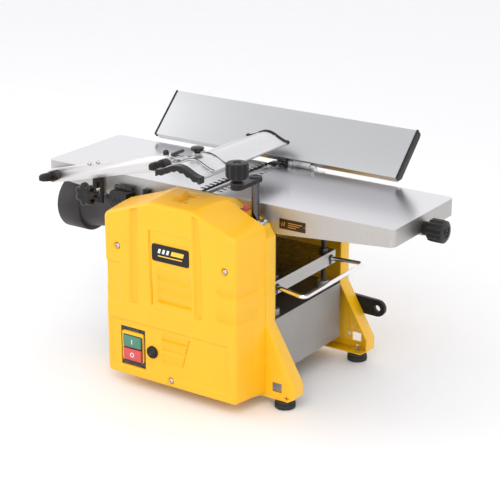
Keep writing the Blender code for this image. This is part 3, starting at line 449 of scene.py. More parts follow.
def cover_section(y, moved_in):
    """The cover at this depth: left and right flanks, crown, shoulder and bottom.

    A flank is the half width on that side and the crown's half width there."""
    stations = [(-100.0, 149.0, 51.0, 133.0, 39.0, -1.5, -36.0, -338.0),
                (-57.3, 150.0, 48.0, 138.0, 50.0, 3.0, -31.0, -340.0),
                (COVER_BACK, 151.5, 46.0, 143.5, 64.0, 5.0, -30.0, -342.5)]
    y = min(max(y, stations[0][0]), COVER_BACK)
    near, far = (stations[0], stations[1]) if y < stations[1][0] else (stations[1], stations[2])
    t = (y - near[0]) / (far[0] - near[0])
    left, left_crown, right, right_crown, crown, shoulder, bottom = (
        a + (b - a) * t for a, b in zip(near[1:], far[1:]))
    return ((left - moved_in, left_crown - 0.2 * moved_in),
            (right - moved_in, right_crown - 0.2 * moved_in), crown - moved_in,
            shoulder - 0.7 * moved_in, bottom + moved_in)


def corner_drop(x, half):
    over = max(0.0, abs(x) - (half - COVER_CORNER))
    return COVER_CORNER - (max(0.0, COVER_CORNER ** 2 - over ** 2)) ** 0.5


def cover_columns(section):
    left, right = section[0][0] - COVER_CORNER, section[1][0] - COVER_CORNER
    bend, count = [COVER_CORNER * sin(radians(15 * k)) for k in range(1, 7)], 176
    return ([-left - x for x in reversed(bend)]
            + [-left + (left + right) * i / count for i in range(count + 1)]
            + [right + x for x in bend])


def cover_heights(x, section):
    """Heights up one column: level lines over the relief, bent to the outline at both ends."""
    left, right, crown, shoulder, bottom = section
    half, crown_half = right if x > 0 else left
    slope = max(0.0, abs(x) - crown_half) / (half - crown_half)
    low = bottom + corner_drop(x, half)
    high = crown + (shoulder - crown) * slope - corner_drop(x, half)
    first, last = SWITCH[1][0], -62.0
    count = int((last - first) / COVER_STEP)
    return ([low + (first - low) * k / 5 for k in range(5)]
            + [first + (last - first) * k / count for k in range(count + 1)]
            + [last + (high - last) * k / 26 for k in range(1, 27)])


def between(z, top, bottom, at_top, at_bottom):
    """A value that changes evenly from one height to another lower one."""
    t = min(1.0, max(0.0, (top - z) / (top - bottom)))
    return at_top + (at_bottom - at_top) * t


def shingles(z, lines, start, depth):
    """Overlapping steps: each gets deeper downwards and ends at one of the lines."""
    for line in lines:
        if z > line:
            return depth * max(0.0, min(1.0, (start - z) / (start - line))) * ramp(
                line - 0.2, line + 1.6, z)
        start = line
    return 0.0


def side_scoops(z, side):
    """Depth of the hollows at the cover's edges: steps on the right, soft pads on the left."""
    if side > 0:
        return sum(shingles(z, (line,), start, 3.2)
                   for start, line in ((-123.0, -141.0), (-168.0, -189.0)) if z <= start)
    return within(-168, -124, 2.5, z) * 2.6 + within(-201, -168, 2.0, z) * 1.3


def cover_relief(x, z):
    """How far the moulded front is set back from its face at this point."""
    return RELIEF * relief_pattern(x, z)


def relief_pattern(x, z):
    """Two leaning pillars, the panels and steps between and below them, and the screw wells."""
    middle = between(z, -12, -192, -82.5, -86.5)
    half = between(z, -12, -192, 6.5, 8.5)
    depth = 3.6 * within(middle - half, middle + half, 2.6, x) * within(-193, -14, 1.0, z)
    middle = between(z, -10, -75, 48, 52.5) + between(z, -75, -192, 0, 1)
    half = between(z, -10, -75, 4.5, 7.0)
    depth += 3.6 * within(middle - half, middle + half, 2.6, x) * within(-194, -10, 1.0, z)
    line = between(z, -51, -190, -49.5, -46.5)
    depth += 2.6 * within(line - 1.4, line + 1.4, 0.9, x) * within(-190, -51, 1.5, z)
    panel = within(-47, 36, 1.0, x) * within(-190, -51, 0.9, z)
    depth += 1.0 * panel
    depth += within(-34, 37, 1.2, x) * shingles(z, (-141.0, -162.0, -182.0), -118.0, 3.3)
    depth += 2.0 * within(36.5, 39.5, 0.8, x) * within(-183, -124, 1.0, z)
    lower = within(-139, 116, 0.9, x) * within(-320, -231, 0.9, z)
    depth += 1.7 * lower
    slash = 32.0 + (-241.0 - z) * -0.283
    depth += within(-28, slash, 0.9, x) * shingles(z, (-254.0, -274.0, -297.0), -238.0, 2.7)
    depth += 2.2 * within(slash - 1.2, slash + 1.2, 0.8, x) * within(-296, -240, 1.5, z)
    side = 1 if x > 0 else -1
    depth += side_scoops(z, side) * ramp(90 if side > 0 else 112, 97 if side > 0 else 120, abs(x))
    for sx, sz in SCREWS:
        depth += 3.2 * (1 - ramp(6.2, 7.6, hypot(x - sx, z - sz)))
    return depth


def cover_side_dent(x, y, z):
    """How far the walls are pressed in: the side scoops, and the finger notch in the top."""
    side = 1 if x > 0 else -1
    scoop = side_scoops(z, side) * (1 - ramp(-46, -38, y))
    notch = 8.5 * within(-18, 10, 1.3, x) * ramp(-78, -71, y)
    return scoop, notch


def front_cover():
    """The moulded cover: its front face first, then rings round the edge and back to its rim."""
    shape = bmesh.new()
    rings = [(COVER_FACE + COVER_EDGE * (1 - cos(a)), COVER_EDGE * (1 - sin(a)), sin(a))
             for a in (radians(15 * k) for k in range(7))]
    start = COVER_FACE + COVER_EDGE
    walls = 28
    rings += [(start + (COVER_BACK - start) * k / walls, 0.0, 1.0) for k in range(1, walls + 1)]

    front = cover_section(rings[0][0], rings[0][1])
    grid = [[shape.verts.new((x, COVER_FACE + cover_relief(x, z), z))
             for z in cover_heights(x, front)] for x in cover_columns(front)]
    across, up = len(grid), len(grid[0])
    for i in range(across - 1):
        for j in range(up - 1):
            middle = (grid[i][j].co + grid[i + 1][j + 1].co) / 2
            x, z = middle.x, middle.z
            in_switch = SWITCH[0][0] < x < SWITCH[0][1] and SWITCH[1][0] < z < SWITCH[1][1]
            if not in_switch and hypot(x - RESET[0], z - RESET[1]) > RESET_HOLE:
                shape.faces.new((grid[i][j], grid[i + 1][j], grid[i + 1][j + 1], grid[i][j + 1]))

    edge = ([(i, 0) for i in range(across)] + [(across - 1, j) for j in range(1, up)]
            + [(i, up - 1) for i in range(across - 2, -1, -1)]
            + [(0, j) for j in range(up - 2, 0, -1)])
    last = [grid[i][j] for i, j in edge]
    for y, moved_in, turned_out in rings[1:]:
        section = cover_section(y, moved_in)
        xs = cover_columns(section)
        heights = {i: cover_heights(xs[i], section) for i in {i for i, j in edge}}
        ring = []
        for i, j in edge:
            x, z = xs[i], heights[i][j]
            scoop, notch = cover_side_dent(x, y, z)
            back = cover_relief(x, z) * (1 - turned_out)
            if i in (0, across - 1):
                ring.append(shape.verts.new((x - scoop * turned_out * (1 if x > 0 else -1),
                                             y + back, z)))
            elif j == up - 1:
                ring.append(shape.verts.new((x, y, z - notch)))
            else:
                ring.append(shape.verts.new((x, y, z)))
        for k in range(len(edge)):
            m = (k + 1) % len(edge)
            shape.faces.new((last[k], last[m], ring[m], ring[k]))
        last = ring
    openings = [e for e in shape.edges
                if e.is_boundary and all(v.co.y < FACE_END for v in e.verts)]
    for part in bmesh.ops.extrude_edge_only(shape, edges=openings)["geom"]:
        if isinstance(part, bmesh.types.BMVert):
            part.co.y = COVER_FACE + OPENING_DEPTH
    loose = [v for v in shape.verts if not v.link_faces]
    bmesh.ops.delete(shape, geom=loose, context="VERTS")
    piece("front_cover_shell", shape, "yellow_plastic", crease=60, stands_for=["front_cover"])
    for index, (x, z) in enumerate(SCREWS):
        floor_y = COVER_FACE + cover_relief(x, z)
        # painted shade: a deeper orange ring on the floor of each screw well
        well_shade = ring_of((x, floor_y, z), "Y", -0.7, 0.5, 3.0, 6.6)
        piece(f"cover_screw_well_shade_{index + 1}", well_shade, "painted_shade_orange", slot="yellow_plastic")
        screw(f"cover_screw_{index + 1}", (x, floor_y - 0.6, z), "Y", 4.6, sign=-1)


def rounded_rectangle(x, z, radius, steps=6):
    """A rounded outline over these ranges, each corner in this many steps."""
    points = []
    corners = ((x[1], z[0], -90), (x[1], z[1], 0), (x[0], z[1], 90), (x[0], z[0], 180))
    for cx, cz, start in corners:
        ox = cx - radius if cx == x[1] else cx + radius
        oz = cz - radius if cz == z[1] else cz + radius
        for k in range(steps + 1):
            a = radians(start + 90 * k / steps)
            points.append((ox + radius * cos(a), oz + radius * sin(a)))
    return points


def badge():
    """A black plate with a generic mark: two slanted bars over a line."""
    y = COVER_FACE + 1.0
    plate = prism(rounded_rectangle((-43, 36), (-104, -73), 4.5), "Y", y - 1.6, y + 0.5)
    piece("badge_plate", plate, "black_gloss", bevel=0.4)

    def bar(x, low, high, width, lean):
        return [(x, low), (x + width, low), (x + width + lean, high), (x + lean, high)]
    face = (y - 1.85, y - 1.5)
    white = together(*[prism(bar(x, -88.5, -80.5, 5.0, 2.6), "Y", *face) for x in (-30, -21, -12)])
    piece("badge_bars", white, "white_ink")
    gold = together(prism(bar(-2, -88.5, -80.5, 26.0, 2.6), "Y", *face),
                    prism(bar(-30, -94.5, -92.6, 52.0, 0.6), "Y", *face))
    piece("badge_band", gold, "yellow_plastic")


# ---- switch --------------------------------------------------------------------------------
def switch():
    low, high = span("switch_body")
    start_low, start_high = span("start_button")
    stop_low, stop_high = span("stop_button")
    x = (low.x, high.x)
    wells = [(s.x - 0.6, e.x + 0.6, s.z - 0.6, e.z + 0.6)
             for s, e in ((start_low, start_high), (stop_low, stop_high))]
    walls = [block(x, (low.y + 2, high.y), (low.z, wells[1][2])),
             block(x, (low.y + 2, high.y), (wells[0][3], high.z)),
             block((low.x, wells[0][0]), (low.y + 2, high.y), (wells[1][2], wells[0][3])),
             block((wells[0][1], high.x), (low.y + 2, high.y), (wells[1][2], wells[0][3])),
             block((wells[0][0], wells[0][1]), (low.y + 4, high.y), (wells[1][3], wells[0][2]))]
    piece("switch_housing", together(*walls), "black_plastic", stands_for=["switch_body"])
    outer = rounded_rectangle((low.x + 3.5, high.x - 2.5), (low.z + 10, high.z - 7), 4)
    inner = rounded_rectangle((wells[0][0] - 0.4, wells[0][1] + 3.0),
                              (wells[1][2] - 0.4, wells[0][3] + 1.2), 3)
    rings = [[(px, y, pz) for px, pz in outline]
             for outline, y in ((outer, low.y + 2.5), (outer, low.y - 1.6), (inner, low.y - 1.6),
                                (inner, low.y + 2.5))]
    piece("switch_frame", loft(rings, loop=True), "yellow_plastic", bevel=0.7)
    for name, colour in (("start_button", "green"), ("stop_button", "red")):
        refined(name, colour, bevel=1.3)
        at, face = centre(name), span(name)[0].y
        if name == "start_button":
            mark = block((at.x - 0.9, at.x + 0.9), (face - 0.35, face + 0.6),
                         (at.z - 4.5, at.z + 4.5))
        else:
            mark = ring_of((at.x, face, at.z), "Y", -0.35, 0.6, 2.8, 4.5, 36)
        piece(name + "_mark", mark, "white_ink", name)
    bezel = loft([[(RESET[0] + r * cos(a), COVER_FACE + y, RESET[1] + r * sin(a))
                   for a in circle(48)]
                  for r, y in ((9.3, 5.0), (9.3, -0.4), (10.2, -1.0), (11.4, -0.4), (11.6, 3.0))],
                 ends=False)
    piece("reset_bezel", bezel, "black_plastic")
    low, high = span("reset_button")
    cap = [(0, low.y), (5.4, low.y), (5.8, low.y + 0.7), (6.4, low.y + 0.8), (6.8, low.y + 0.1),
           (8.2, low.y + 0.2), (8.9, low.y + 1.4), (8.9, high.y), (0, high.y)]
    piece("reset_cap", turned(cap, (RESET[0], 0, RESET[1]), "Y", 48), "black_gloss",
          "reset_button", stands_for=["reset_button"])


# ---- frames, base, feet ------------------------------------------------------------------------
def frames():
    refined_all(("front_side_frame", "yellow_paint", 0.9), ("rear_side_frame", "yellow_paint", 0.9),
                ("rear_cover", "yellow_plastic", 2.2), ("head_frame", "dark_steel", 0.8))
    web = span("front_side_frame")[0].y
    screws("frame_screw", [(x, web, z) for x in (151, -151) for z in (-258, -286)], "Y", 2.6,
           material="yellow_paint", sign=-1)
    # painted shade: thin darker orange plates on the web where the slots show shade
    slot_shades = [block((x - half, x + half), (web - 0.25, web + 0.4), (FLOOR + low, FLOOR + high))
             for half, low, high in ((5, 22.6, 25.0), (1.2, 20, 28)) for x in (-188, 188)]
    piece("frame_adjuster_slot_shades", together(*slot_shades), "painted_shade_orange", slot="yellow_steel")
    back = span("rear_side_frame")[1].y
    inside = back - 2.5
    for side in (-1, 1):
        label = "right" if side > 0 else "left"
        eye = ring_of((side * 152, inside, -317), "Y", -0.5, 0.2, 0.1, 3.2, 24)
        piece(f"frame_eye_{label}", eye, "white_ink", slot="yellow_steel")
        for front_or_back, y, sign in (("front", -27, 1), ("rear", back - 2, -1)):
            stud = [(0, -3), (5.6, -3), (5.6, 0), (3, 0), (3, 6), (0, 6)]
            piece(f"foot_stud_{front_or_back}_{label}",
                  turned(stud, (side * 176, y + sign * 12, FLOOR + 22), "Z", 6), "zinc",
                  bevel=0.3)


def base():
    top = span("base_box")[1].z
    plate = top - 10
    refined("base_box", "grey_sheet", bevel=0.7, top=("dark_plate", plate - 1))
    for corner in CORNERS:
        at = centre("lift_screw_" + corner)
        piece("boss_ring_" + corner, ring_of((at.x, at.y, top), "Z", -0.2, 0.9, 5.6, 10.4),
              "zinc", bevel=0.3)
    for side in (-1, 1):
        label = "right" if side > 0 else "left"
        x = side * span("base_box")[1].x
        for index, y in enumerate((14, 202)):
            dome = [(0, -0.4), (3.4, -0.4), (3.2, 0.9), (2.2, 1.6), (0, 1.8)]
            piece(f"base_rivet_{label}_{index + 1}",
                  turned([(r, side * d) for r, d in dome], (x, y, FLOOR + 60), "X", 24),
                  "grey_sheet")


def feet():
    for corner in CORNERS:
        name = "foot_" + corner
        at, (low, high) = centre(name), span(name)
        tall = high.z - low.z
        profile = [(0, 0), (16.4, 0), (18.2, 0.9), (18.9, 2.4), (18.5, tall * 0.56),
                   (17.2, tall * 0.60), (17.2, tall * 0.67), (18.1, tall * 0.71),
                   (17.5, tall - 0.6), (16.6, tall), (0, tall)]
        piece(name + "_pad", turned(profile, (at.x, at.y, low.z), "Z", 72), "rubber",
              stands_for=[name])


# ---- inside: cutterblock, drives ---------------------------------------------------------------
def thread(radius, low, high, pitch, depth):
    """A turned profile whose ridges stand for a screw's thread."""
    points, level = [(0, low)], low
    while level + pitch < high:
        points += [(radius - depth, level), (radius, level + 0.5 * pitch)]
        level += pitch
    return points + [(radius - depth, level), (radius - depth, high), (0, high)]


def drives():
    refined_all(("cutterblock", "bright_steel", 0.5), ("knife_1", "chrome", 0.12),
                ("knife_2", "chrome", 0.12), ("front_bearing", "bright_steel", 0.5),
                ("rear_bearing", "bright_steel", 0.5), ("cutterblock_pulley", "dark_steel", 0.5),
                ("motor_pulley", "dark_steel", 0.5), ("gearbox_sprocket", "dark_steel", 0.5),
                ("drive_belt", "rubber", 0.4), ("feed_chain", "dark_steel", 0.3),
                ("lift_chain", "dark_steel", 0.3), ("feed_gearbox", "cast", 2.0),
                ("anti_kickback_pawls", "dark_steel", 0.3),
                ("feed_clutch_lever", "black_plastic", 1.5), ("motor", "dark_steel", 1.2))
    at = pivot("motor_spin")
    fins = []
    for k in range(15):
        fin = block((at.x - 0.9, at.x + 0.9), (26, 146), (at.z + 43, at.z + 46))
        fin.transform(Matrix.Translation(at) @ Matrix.Rotation(radians(10 * k - 70), 4, "Y")
                      @ Matrix.Translation(-at))
        fins.append(fin)
    piece("motor_fins", together(*fins), "dark_steel", slot="motor_case", bevel=0.3)
    for name in ("infeed_roller", "outfeed_roller"):
        at = pivot(name + "_spin")
        profile = [(0, -24), (6, -24), (6, 7.5), (12.2, 7.5), (12.9, 8.5), (12.9, 203.5),
                   (12.2, 204.5), (6, 204.5), (6, 253.5), (11, 253.5), (11, 258.5), (6, 258.5),
                   (6, 261.5), (0, 261.5)]
        piece(name + "_fluted", turned(profile, (at.x, 0, at.z), "Y", 96, 24, 0.9, (8, 204)),
              "dark_steel", name, stands_for=[name])
    hub = pivot("feed_clutch")
    far = span("feed_clutch_lever")[1].y
    bolt = [(0, -2.0), (7.6, -2.0), (8.2, -1.2), (8.2, 0.6), (0, 0.6)]
    piece("clutch_hub_washer", turned(bolt, (hub.x, far - 0.6, hub.z), "Y", 36), "zinc",
          "feed_clutch_lever")
    piece("clutch_hub_bolt", turned([(0, -0.5), (5, -0.5), (5, 3.2), (4.4, 3.8), (0, 3.8)],
                                    (hub.x, far, hub.z), "Y", 6), "zinc",
          "feed_clutch_lever", bevel=0.4)


def rear_cover_details():
    low, high = span("rear_cover")
    back = high.y
    slats = [block((-42, 42), (back - 0.6, back + 1.2), (z, z + 3.6))
             for z in (low.z + 34 + 9 * k for k in range(6))]
    piece("rear_cover_louvres", together(*slats), "yellow_plastic", bevel=0.9)
    screws("rear_cover_screw",
           [(x, back, z) for z in (high.z - 46, low.z + 20) for x in (-58, 58)], "Y", 3.3)


# ---- thicknessing table and lift ---------------------------------------------------------------
BAR_SOCKETS = (11.0, 191.0)      # where the legs enter the table's end face
BAR_CORNERS = (-6.0, 200.0)


def rounded_corner(before, corner, after, radius, count=14):
    """Points of a curve that leaves one straight stretch of a path and joins the next."""
    start = corner + (before - corner).normalized() * radius
    end = corner + (after - corner).normalized() * radius
    return [start * (1 - t) ** 2 + corner * (2 * t * (1 - t)) + end * t ** 2
            for t in (i / count for i in range(count + 1))]


def bar_path(start, reach, level):
    """The support bar's route: two legs that splay outwards, and the rail across their ends."""
    near_leg, far_leg = [Vector((start + 7, y, level)) for y in BAR_SOCKETS]
    near, far = [Vector((reach, y, level)) for y in BAR_CORNERS]
    return [Vector((start, near_leg.y, level)), near_leg,
            *rounded_corner(near_leg, near, far, 14), *rounded_corner(near, far, far_leg, 14),
            far_leg, Vector((start, far_leg.y, level))]


def bed():
    high = span("thicknessing_table")[1]
    # the top takes the darker finish, which carries painted shade and a painted dark reflection
    refined("thicknessing_table", "cast", bevel=1.0, top=("shaded_bed_top", high.z - 1))
    bar_low, bar_high = span("outfeed_support_bar")
    level = (bar_low.z + bar_high.z) / 2
    radius = (bar_high.z - bar_low.z) / 2
    path = bar_path(bar_low.x, bar_high.x - radius, level)
    piece("support_bar_rod", sweep(path, radius, 28), "chrome", "bed",
          stands_for=["outfeed_support_bar"])
    for label, y in zip(("front", "rear"), BAR_SOCKETS):
        collar = [(0, -0.3), (6.6, -0.3), (6.6, 1.0), (5.8, 2.0), (0, 2.0)]
        piece(f"bar_collar_{label}", turned(collar, (high.x, y, level), "X", 32), "black_plastic",
              "bed")
        piece(f"bar_set_screw_{label}",
              turned([(0, -0.3), (3.4, -0.3), (3.4, 1.4), (2.6, 2.0), (0, 2.0)],
                     (high.x, y - 2, level - 9.0), "X", 24), "dark_steel", "bed")
    for corner in CORNERS:
        name = "lift_screw_" + corner
        at, (bottom, top) = centre(name), span(name)
        rod = turned(thread(5.0, bottom.z, top.z, 2.5, 0.7), (at.x, at.y, 0), "Z", 28)
        wheel = turned(bar_profile(12, 0, 5), (at.x, at.y, bottom.z + 4), "Z", 72, 18, 1.2,
                       (0, 5))
        piece(name + "_thread", together(rod, wheel), "dark_steel", name, stands_for=[name])
        if corner.endswith("right"):
            cuff = turned([(0, 0), (9.5, 0), (9.5, 5), (8.6, 6.2), (0, 6.2)],
                          (at.x, at.y, high.z - 0.2), "Z", 6)
            piece("lift_nut_" + corner, cuff, "dark_steel", "bed", bevel=0.4)


# ---- crank -------------------------------------------------------------------------------------
def crank():
    axis = pivot("crank_turn")
    low, high = span("crank_shaft")
    shaft = [(0, low.z), (5, low.z), (5, low.z + 6), (7.5, low.z + 6), (7.5, low.z + 14),
             (7.1, low.z + 16), (7.1, high.z - 0.8), (6.4, high.z), (0, high.z)]
    piece("crank_shaft_turned", turned(shaft, (axis.x, axis.y, 0), "Z", 64), "shaft_steel",
          "crank", stands_for=["crank_shaft"])
    arm_low, arm_high = span("crank_arm")
    half = (arm_high.x - arm_low.x) / 2
    spin = pivot("crank_handle_spin")
    flat = arm_low.z + 7.6

    radius = half - 0.4
    ends = [(axis.x + radius * cos(a), y + radius * sin(a))
            for y, start in ((axis.y, 0), (spin.y, 180))
            for a in (radians(start + 7.5 * i) for i in range(25))]
    bar = prism(ends, "Z", arm_low.z, flat)
    piece("crank_arm_bar", bar, "black_plastic", "crank", bevel=1.3, stands_for=["crank_arm"])
    hub = turned([(0, 0), (11.2, 0), (11.2, 1.4), (10.2, 2.0), (5.4, 2.0), (5.0, 1.3), (0, 1.3)],
                 (axis.x, axis.y, flat - 0.2), "Z", 64)
    piece("crank_hub_disc", hub, "black_plastic", "crank")
    pin = turned(bar_profile(3.9, 0, arm_high.z - flat), (spin.x, spin.y, flat), "Z", 32)
    piece("crank_pin", pin, "bright_steel", "crank")
    low, high = span("crank_handle")
    top = high.z
    grip = [(0, top - 3.2), (6.2, top - 3.2), (7.0, top - 0.3), (15.6, top), (17.8, top - 0.7),
            (19.2, top - 2.2), (19.5, top - 4.0), (19.5, top - 22), (19.0, top - 24.6),
            (17.0, top - 26.8), (10.4, top - 28.4), (8.7, top - 29.6), (8.4, low.z + 7.2),
            (9.4, low.z + 5.8), (11.6, low.z + 4.8), (12.0, low.z + 3.6), (11.8, low.z + 0.4),
            (11.0, low.z), (0, low.z)]
    knob = turned(grip, (spin.x, spin.y, 0), "Z", 144, 12, 1.5, (top - 25.5, top - 1.5))
    piece("crank_knob", knob, "black_plastic", "crank_handle", stands_for=["crank_handle"])
    screw("crank_knob_screw", (spin.x, spin.y, top - 3.0), "Z", 3.4, "crank_handle", "dark_steel")
    collar = turned([(0, 0), (13.2, 0), (13.2, 2.4), (12.2, 3.4), (0, 3.4)],
                    (axis.x + 6, axis.y + 2, -30), "Z", 48)
    foot = block((axis.x - 4, axis.x + 19), (axis.y - 7, axis.y + 9), (-33, -29.6))
    piece("shaft_bracket", together(collar, foot), "zinc", bevel=0.6)
    screws("shaft_bracket_screw",
           [(axis.x + 9, axis.y - 6, -27), (axis.x + 16, axis.y + 6, -27)], "Z", 3.6)
    pointer = [(91, -12), (100.5, -12), (102.5, -6.5), (98, -0.5), (93.5, -0.5), (91, -6)]
    piece("depth_pointer", prism(pointer, "Y", -21, -17.5), "red", bevel=0.6)
    tick = [(84, -12), (90.5, -12), (90.5, -8), (86, -8)]
    piece("pointer_clip", prism(tick, "Y", -21, -16), "zinc", bevel=0.4)


# ---- tables, hood and their fittings -----------------------------------------------------------
def tables():
    for name in ("infeed_table", "outfeed_table"):
        refined(name, "cast", bevel=1.0, top=("machined", -0.6))
    plate = prism(rounded_rectangle((152, 204), (-38, -20), 1.2), "Y", -0.9, 0.3)
    piece("table_label", plate, "bronze", "infeed_table", bevel=0.25)
    lines = [prism([(156 + 4 * k, -33), (158 + 4 * k, -33), (160 + 4 * k, -25), (158 + 4 * k, -25)],
                   "Y", -1.15, -0.8) for k in range(2)]
    lines += [block((170, 198 - 6 * k), (-1.15, -0.8), (-26.6 - 3.6 * k, -25.4 - 3.6 * k))
              for k in range(3)]
    piece("table_label_lines", together(*lines), "brass", "infeed_table")
    screws("label_rivet", [(153.8, -0.9, -29), (202.2, -0.9, -29)], "Y", 0.9, "infeed_table",
           "brass", -1)
    at = pivot("infeed_knob_turn")
    low, high = span("infeed_knob")
    ribbed = [(0, low.x), (5, low.x), (5, at.x + 1), (11.6, at.x + 1), (12, at.x + 1.6),
              (12, at.x + 8.6), (16.4, at.x + 10.4), (19.0, at.x + 12), (19.9, at.x + 14.2),
              (19.9, at.x + 36.4), (19.2, at.x + 38.6), (16.4, high.x - 0.4),
              (10.4, high.x), (9.6, high.x - 1.6), (0, high.x - 1.9)]
    knob = turned(ribbed, (0, at.y, at.z), "X", 168, 14, 1.7, (at.x + 11.5, at.x + 38))
    piece("infeed_knob_ribbed", knob, "black_plastic", "infeed_knob", stands_for=["infeed_knob"])
    screw("infeed_knob_screw", (high.x - 1.6, at.y, at.z), "X", 4.6, "infeed_knob", "black_gloss")
    latch = [(-197, -56), (-160, -56), (-158, -54), (-158, -27), (-161, -24), (-193, -24),
             (-197, -28)]
    piece("hood_latch", prism(latch, "Y", -28, -0.6), "black_gloss", bevel=1.2)
    roll = turned([(0, -197), (4.8, -197), (5.4, -196), (5.4, -160), (4.8, -159), (0, -159)],
                  (0, -8, -23), "X", 40)
    piece("hood_latch_roll", roll, "black_gloss")
    # the zigzag ribs are real; their grey, lighter than the latch, is a painted highlight for the
    # glints along them
    teeth = [prism([(x, -38), (x + 4.5, -48), (x + 9, -38), (x + 9, -36), (x + 4.5, -46),
                    (x, -36)], "Y", -28.8, -27.8) for x in (-193, -184, -175, -166)]
    piece("hood_latch_ribs", together(*teeth), "port_plastic", bevel=0.2)
    piece("table_stop_pin", block((-136, -123), (-8, -0.6), (-32, -17)), "black_plastic",
          bevel=1.2)


def chip_hood():
    """Wide mouth under the outfeed table, narrowing into a round port with a stepped sleeve."""
    low, high = span("chip_hood")
    middle = (low.y + high.y) / 2 - 0.25
    wall = 2.6
    stations = [(-152, 84, 36, -108, 0.35), (-190, 84, 36, -106, 0.35),
                (-210, 79, 37.6, -105.3, 0.42), (-236, 69.5, 39.9, -104.2, 0.56),
                (-262, 60, 42, -103, 0.7),
                (-282, 55, 43.6, -102.5, 0.85), (-300, 50, 45, -102, 1.0),
                (-335, 50, 46.8, -105.7, 1.0), (-337.6, 50.2, 47.4, -106.2, 1.0),
                (-339, 52.4, 52.2, -109.6, 1.0), (-341, 53, 53, -110, 1.0),
                (-391.2, 53, 53, -110, 1.0), (-392, 52.4, 52.4, -110, 1.0)]

    def oval(x, half_y, half_z, z, square):
        return [(x, middle + half_y * squared(cos(a), square),
                 z + half_z * squared(sin(a), square)) for a in circle(120, 0.5)]
    outer = [oval(*station) for station in stations]
    inner = [oval(x, a - wall, b - wall, z, q) for x, a, b, z, q in reversed(stations)]
    piece("chip_hood_moulded", loft(outer + inner, loop=True), "port_plastic", crease=50,
          stands_for=["chip_hood"])


# ---- cutterblock guard -------------------------------------------------------------------------
GUARD_LOW, GUARD_HIGH = span("guard_profile")
GUARD_MIDDLE = (GUARD_LOW.x + GUARD_HIGH.x) / 2
GUARD_HALF = (GUARD_HIGH.x - GUARD_LOW.x) / 2
GUARD_SKIN = 2.6
GUARD_RISE = GUARD_HIGH.z - GUARD_LOW.z - GUARD_SKIN


def gull(u):
    """Height of the guard's gull-wing section, 0 at its edges and 1 at its ridge."""
    return cos(pi / 2 * min(1.0, abs(u))) ** 2


def gull_outline(half, base, thickness, over=None, under=None, count=72):
    across = [2 * i / count - 1 for i in range(count + 1)]
    top = [(GUARD_MIDDLE + half * u, base + GUARD_RISE * gull(u) + thickness
            + (over(u) if over else 0)) for u in across]
    low = [(GUARD_MIDDLE + half * u, base + GUARD_RISE * gull(u) + (under(u) if under else 0))
           for u in across]
    return low + top[::-1]


def clamp_lever(name):
    """Fishtail lever with two ribs, on a bolt through the guard's linkage."""
    at = pivot(name + "_turn")
    front = span(name)[0].y + 36
    spine = [(9, -2, 8), (9, -9, 8), (7.6, -14, 8), (4.0, -20, 7.8), (0.4, -26, 7.4),
             (-3.4, -31.6, 6.6), (-7.6, -35.4, 5.0)]
    back = [(-9, -2), (-9, -9), (-10.4, -14), (-12.6, -20), (-14, -26), (-14.4, -31), (-13, -34.6)]
    rings = []
    for (right, y, thick), (left, other_y) in zip(spine, back):
        mid, half = (right + left) / 2, (right - left) / 2
        rings.append([(at.x + mid + half * squared(cos(a), 0.6), front + (y + other_y) / 2,
                       at.z + thick * squared(sin(a), 0.6)) for a in circle(24)])
    hub = turned([(0, front - 14), (9.6, front - 14), (10, front - 13), (10, front - 0.4),
                  (0, front - 0.4)], (at.x, 0, at.z), "Y", 40)
    piece(name + "_grip", together(loft(rings), hub), "black_gloss", name, crease=45,
          stands_for=[name])
    ribs = [block((at.x - 5 + 6 * k, at.x - 3.6 + 6 * k), (front - 17, front - 3),
                  (at.z + 7.6, at.z + 9.2)) for k in range(2)]
    piece(name + "_ribs", together(*ribs), "black_gloss", name, bevel=0.5)
    bolt = turned(thread(4.0, front - 8, front + 12, 1.5, 0.5), (at.x, 0, at.z), "Y", 24)
    piece(name + "_bolt", bolt, "zinc", name)


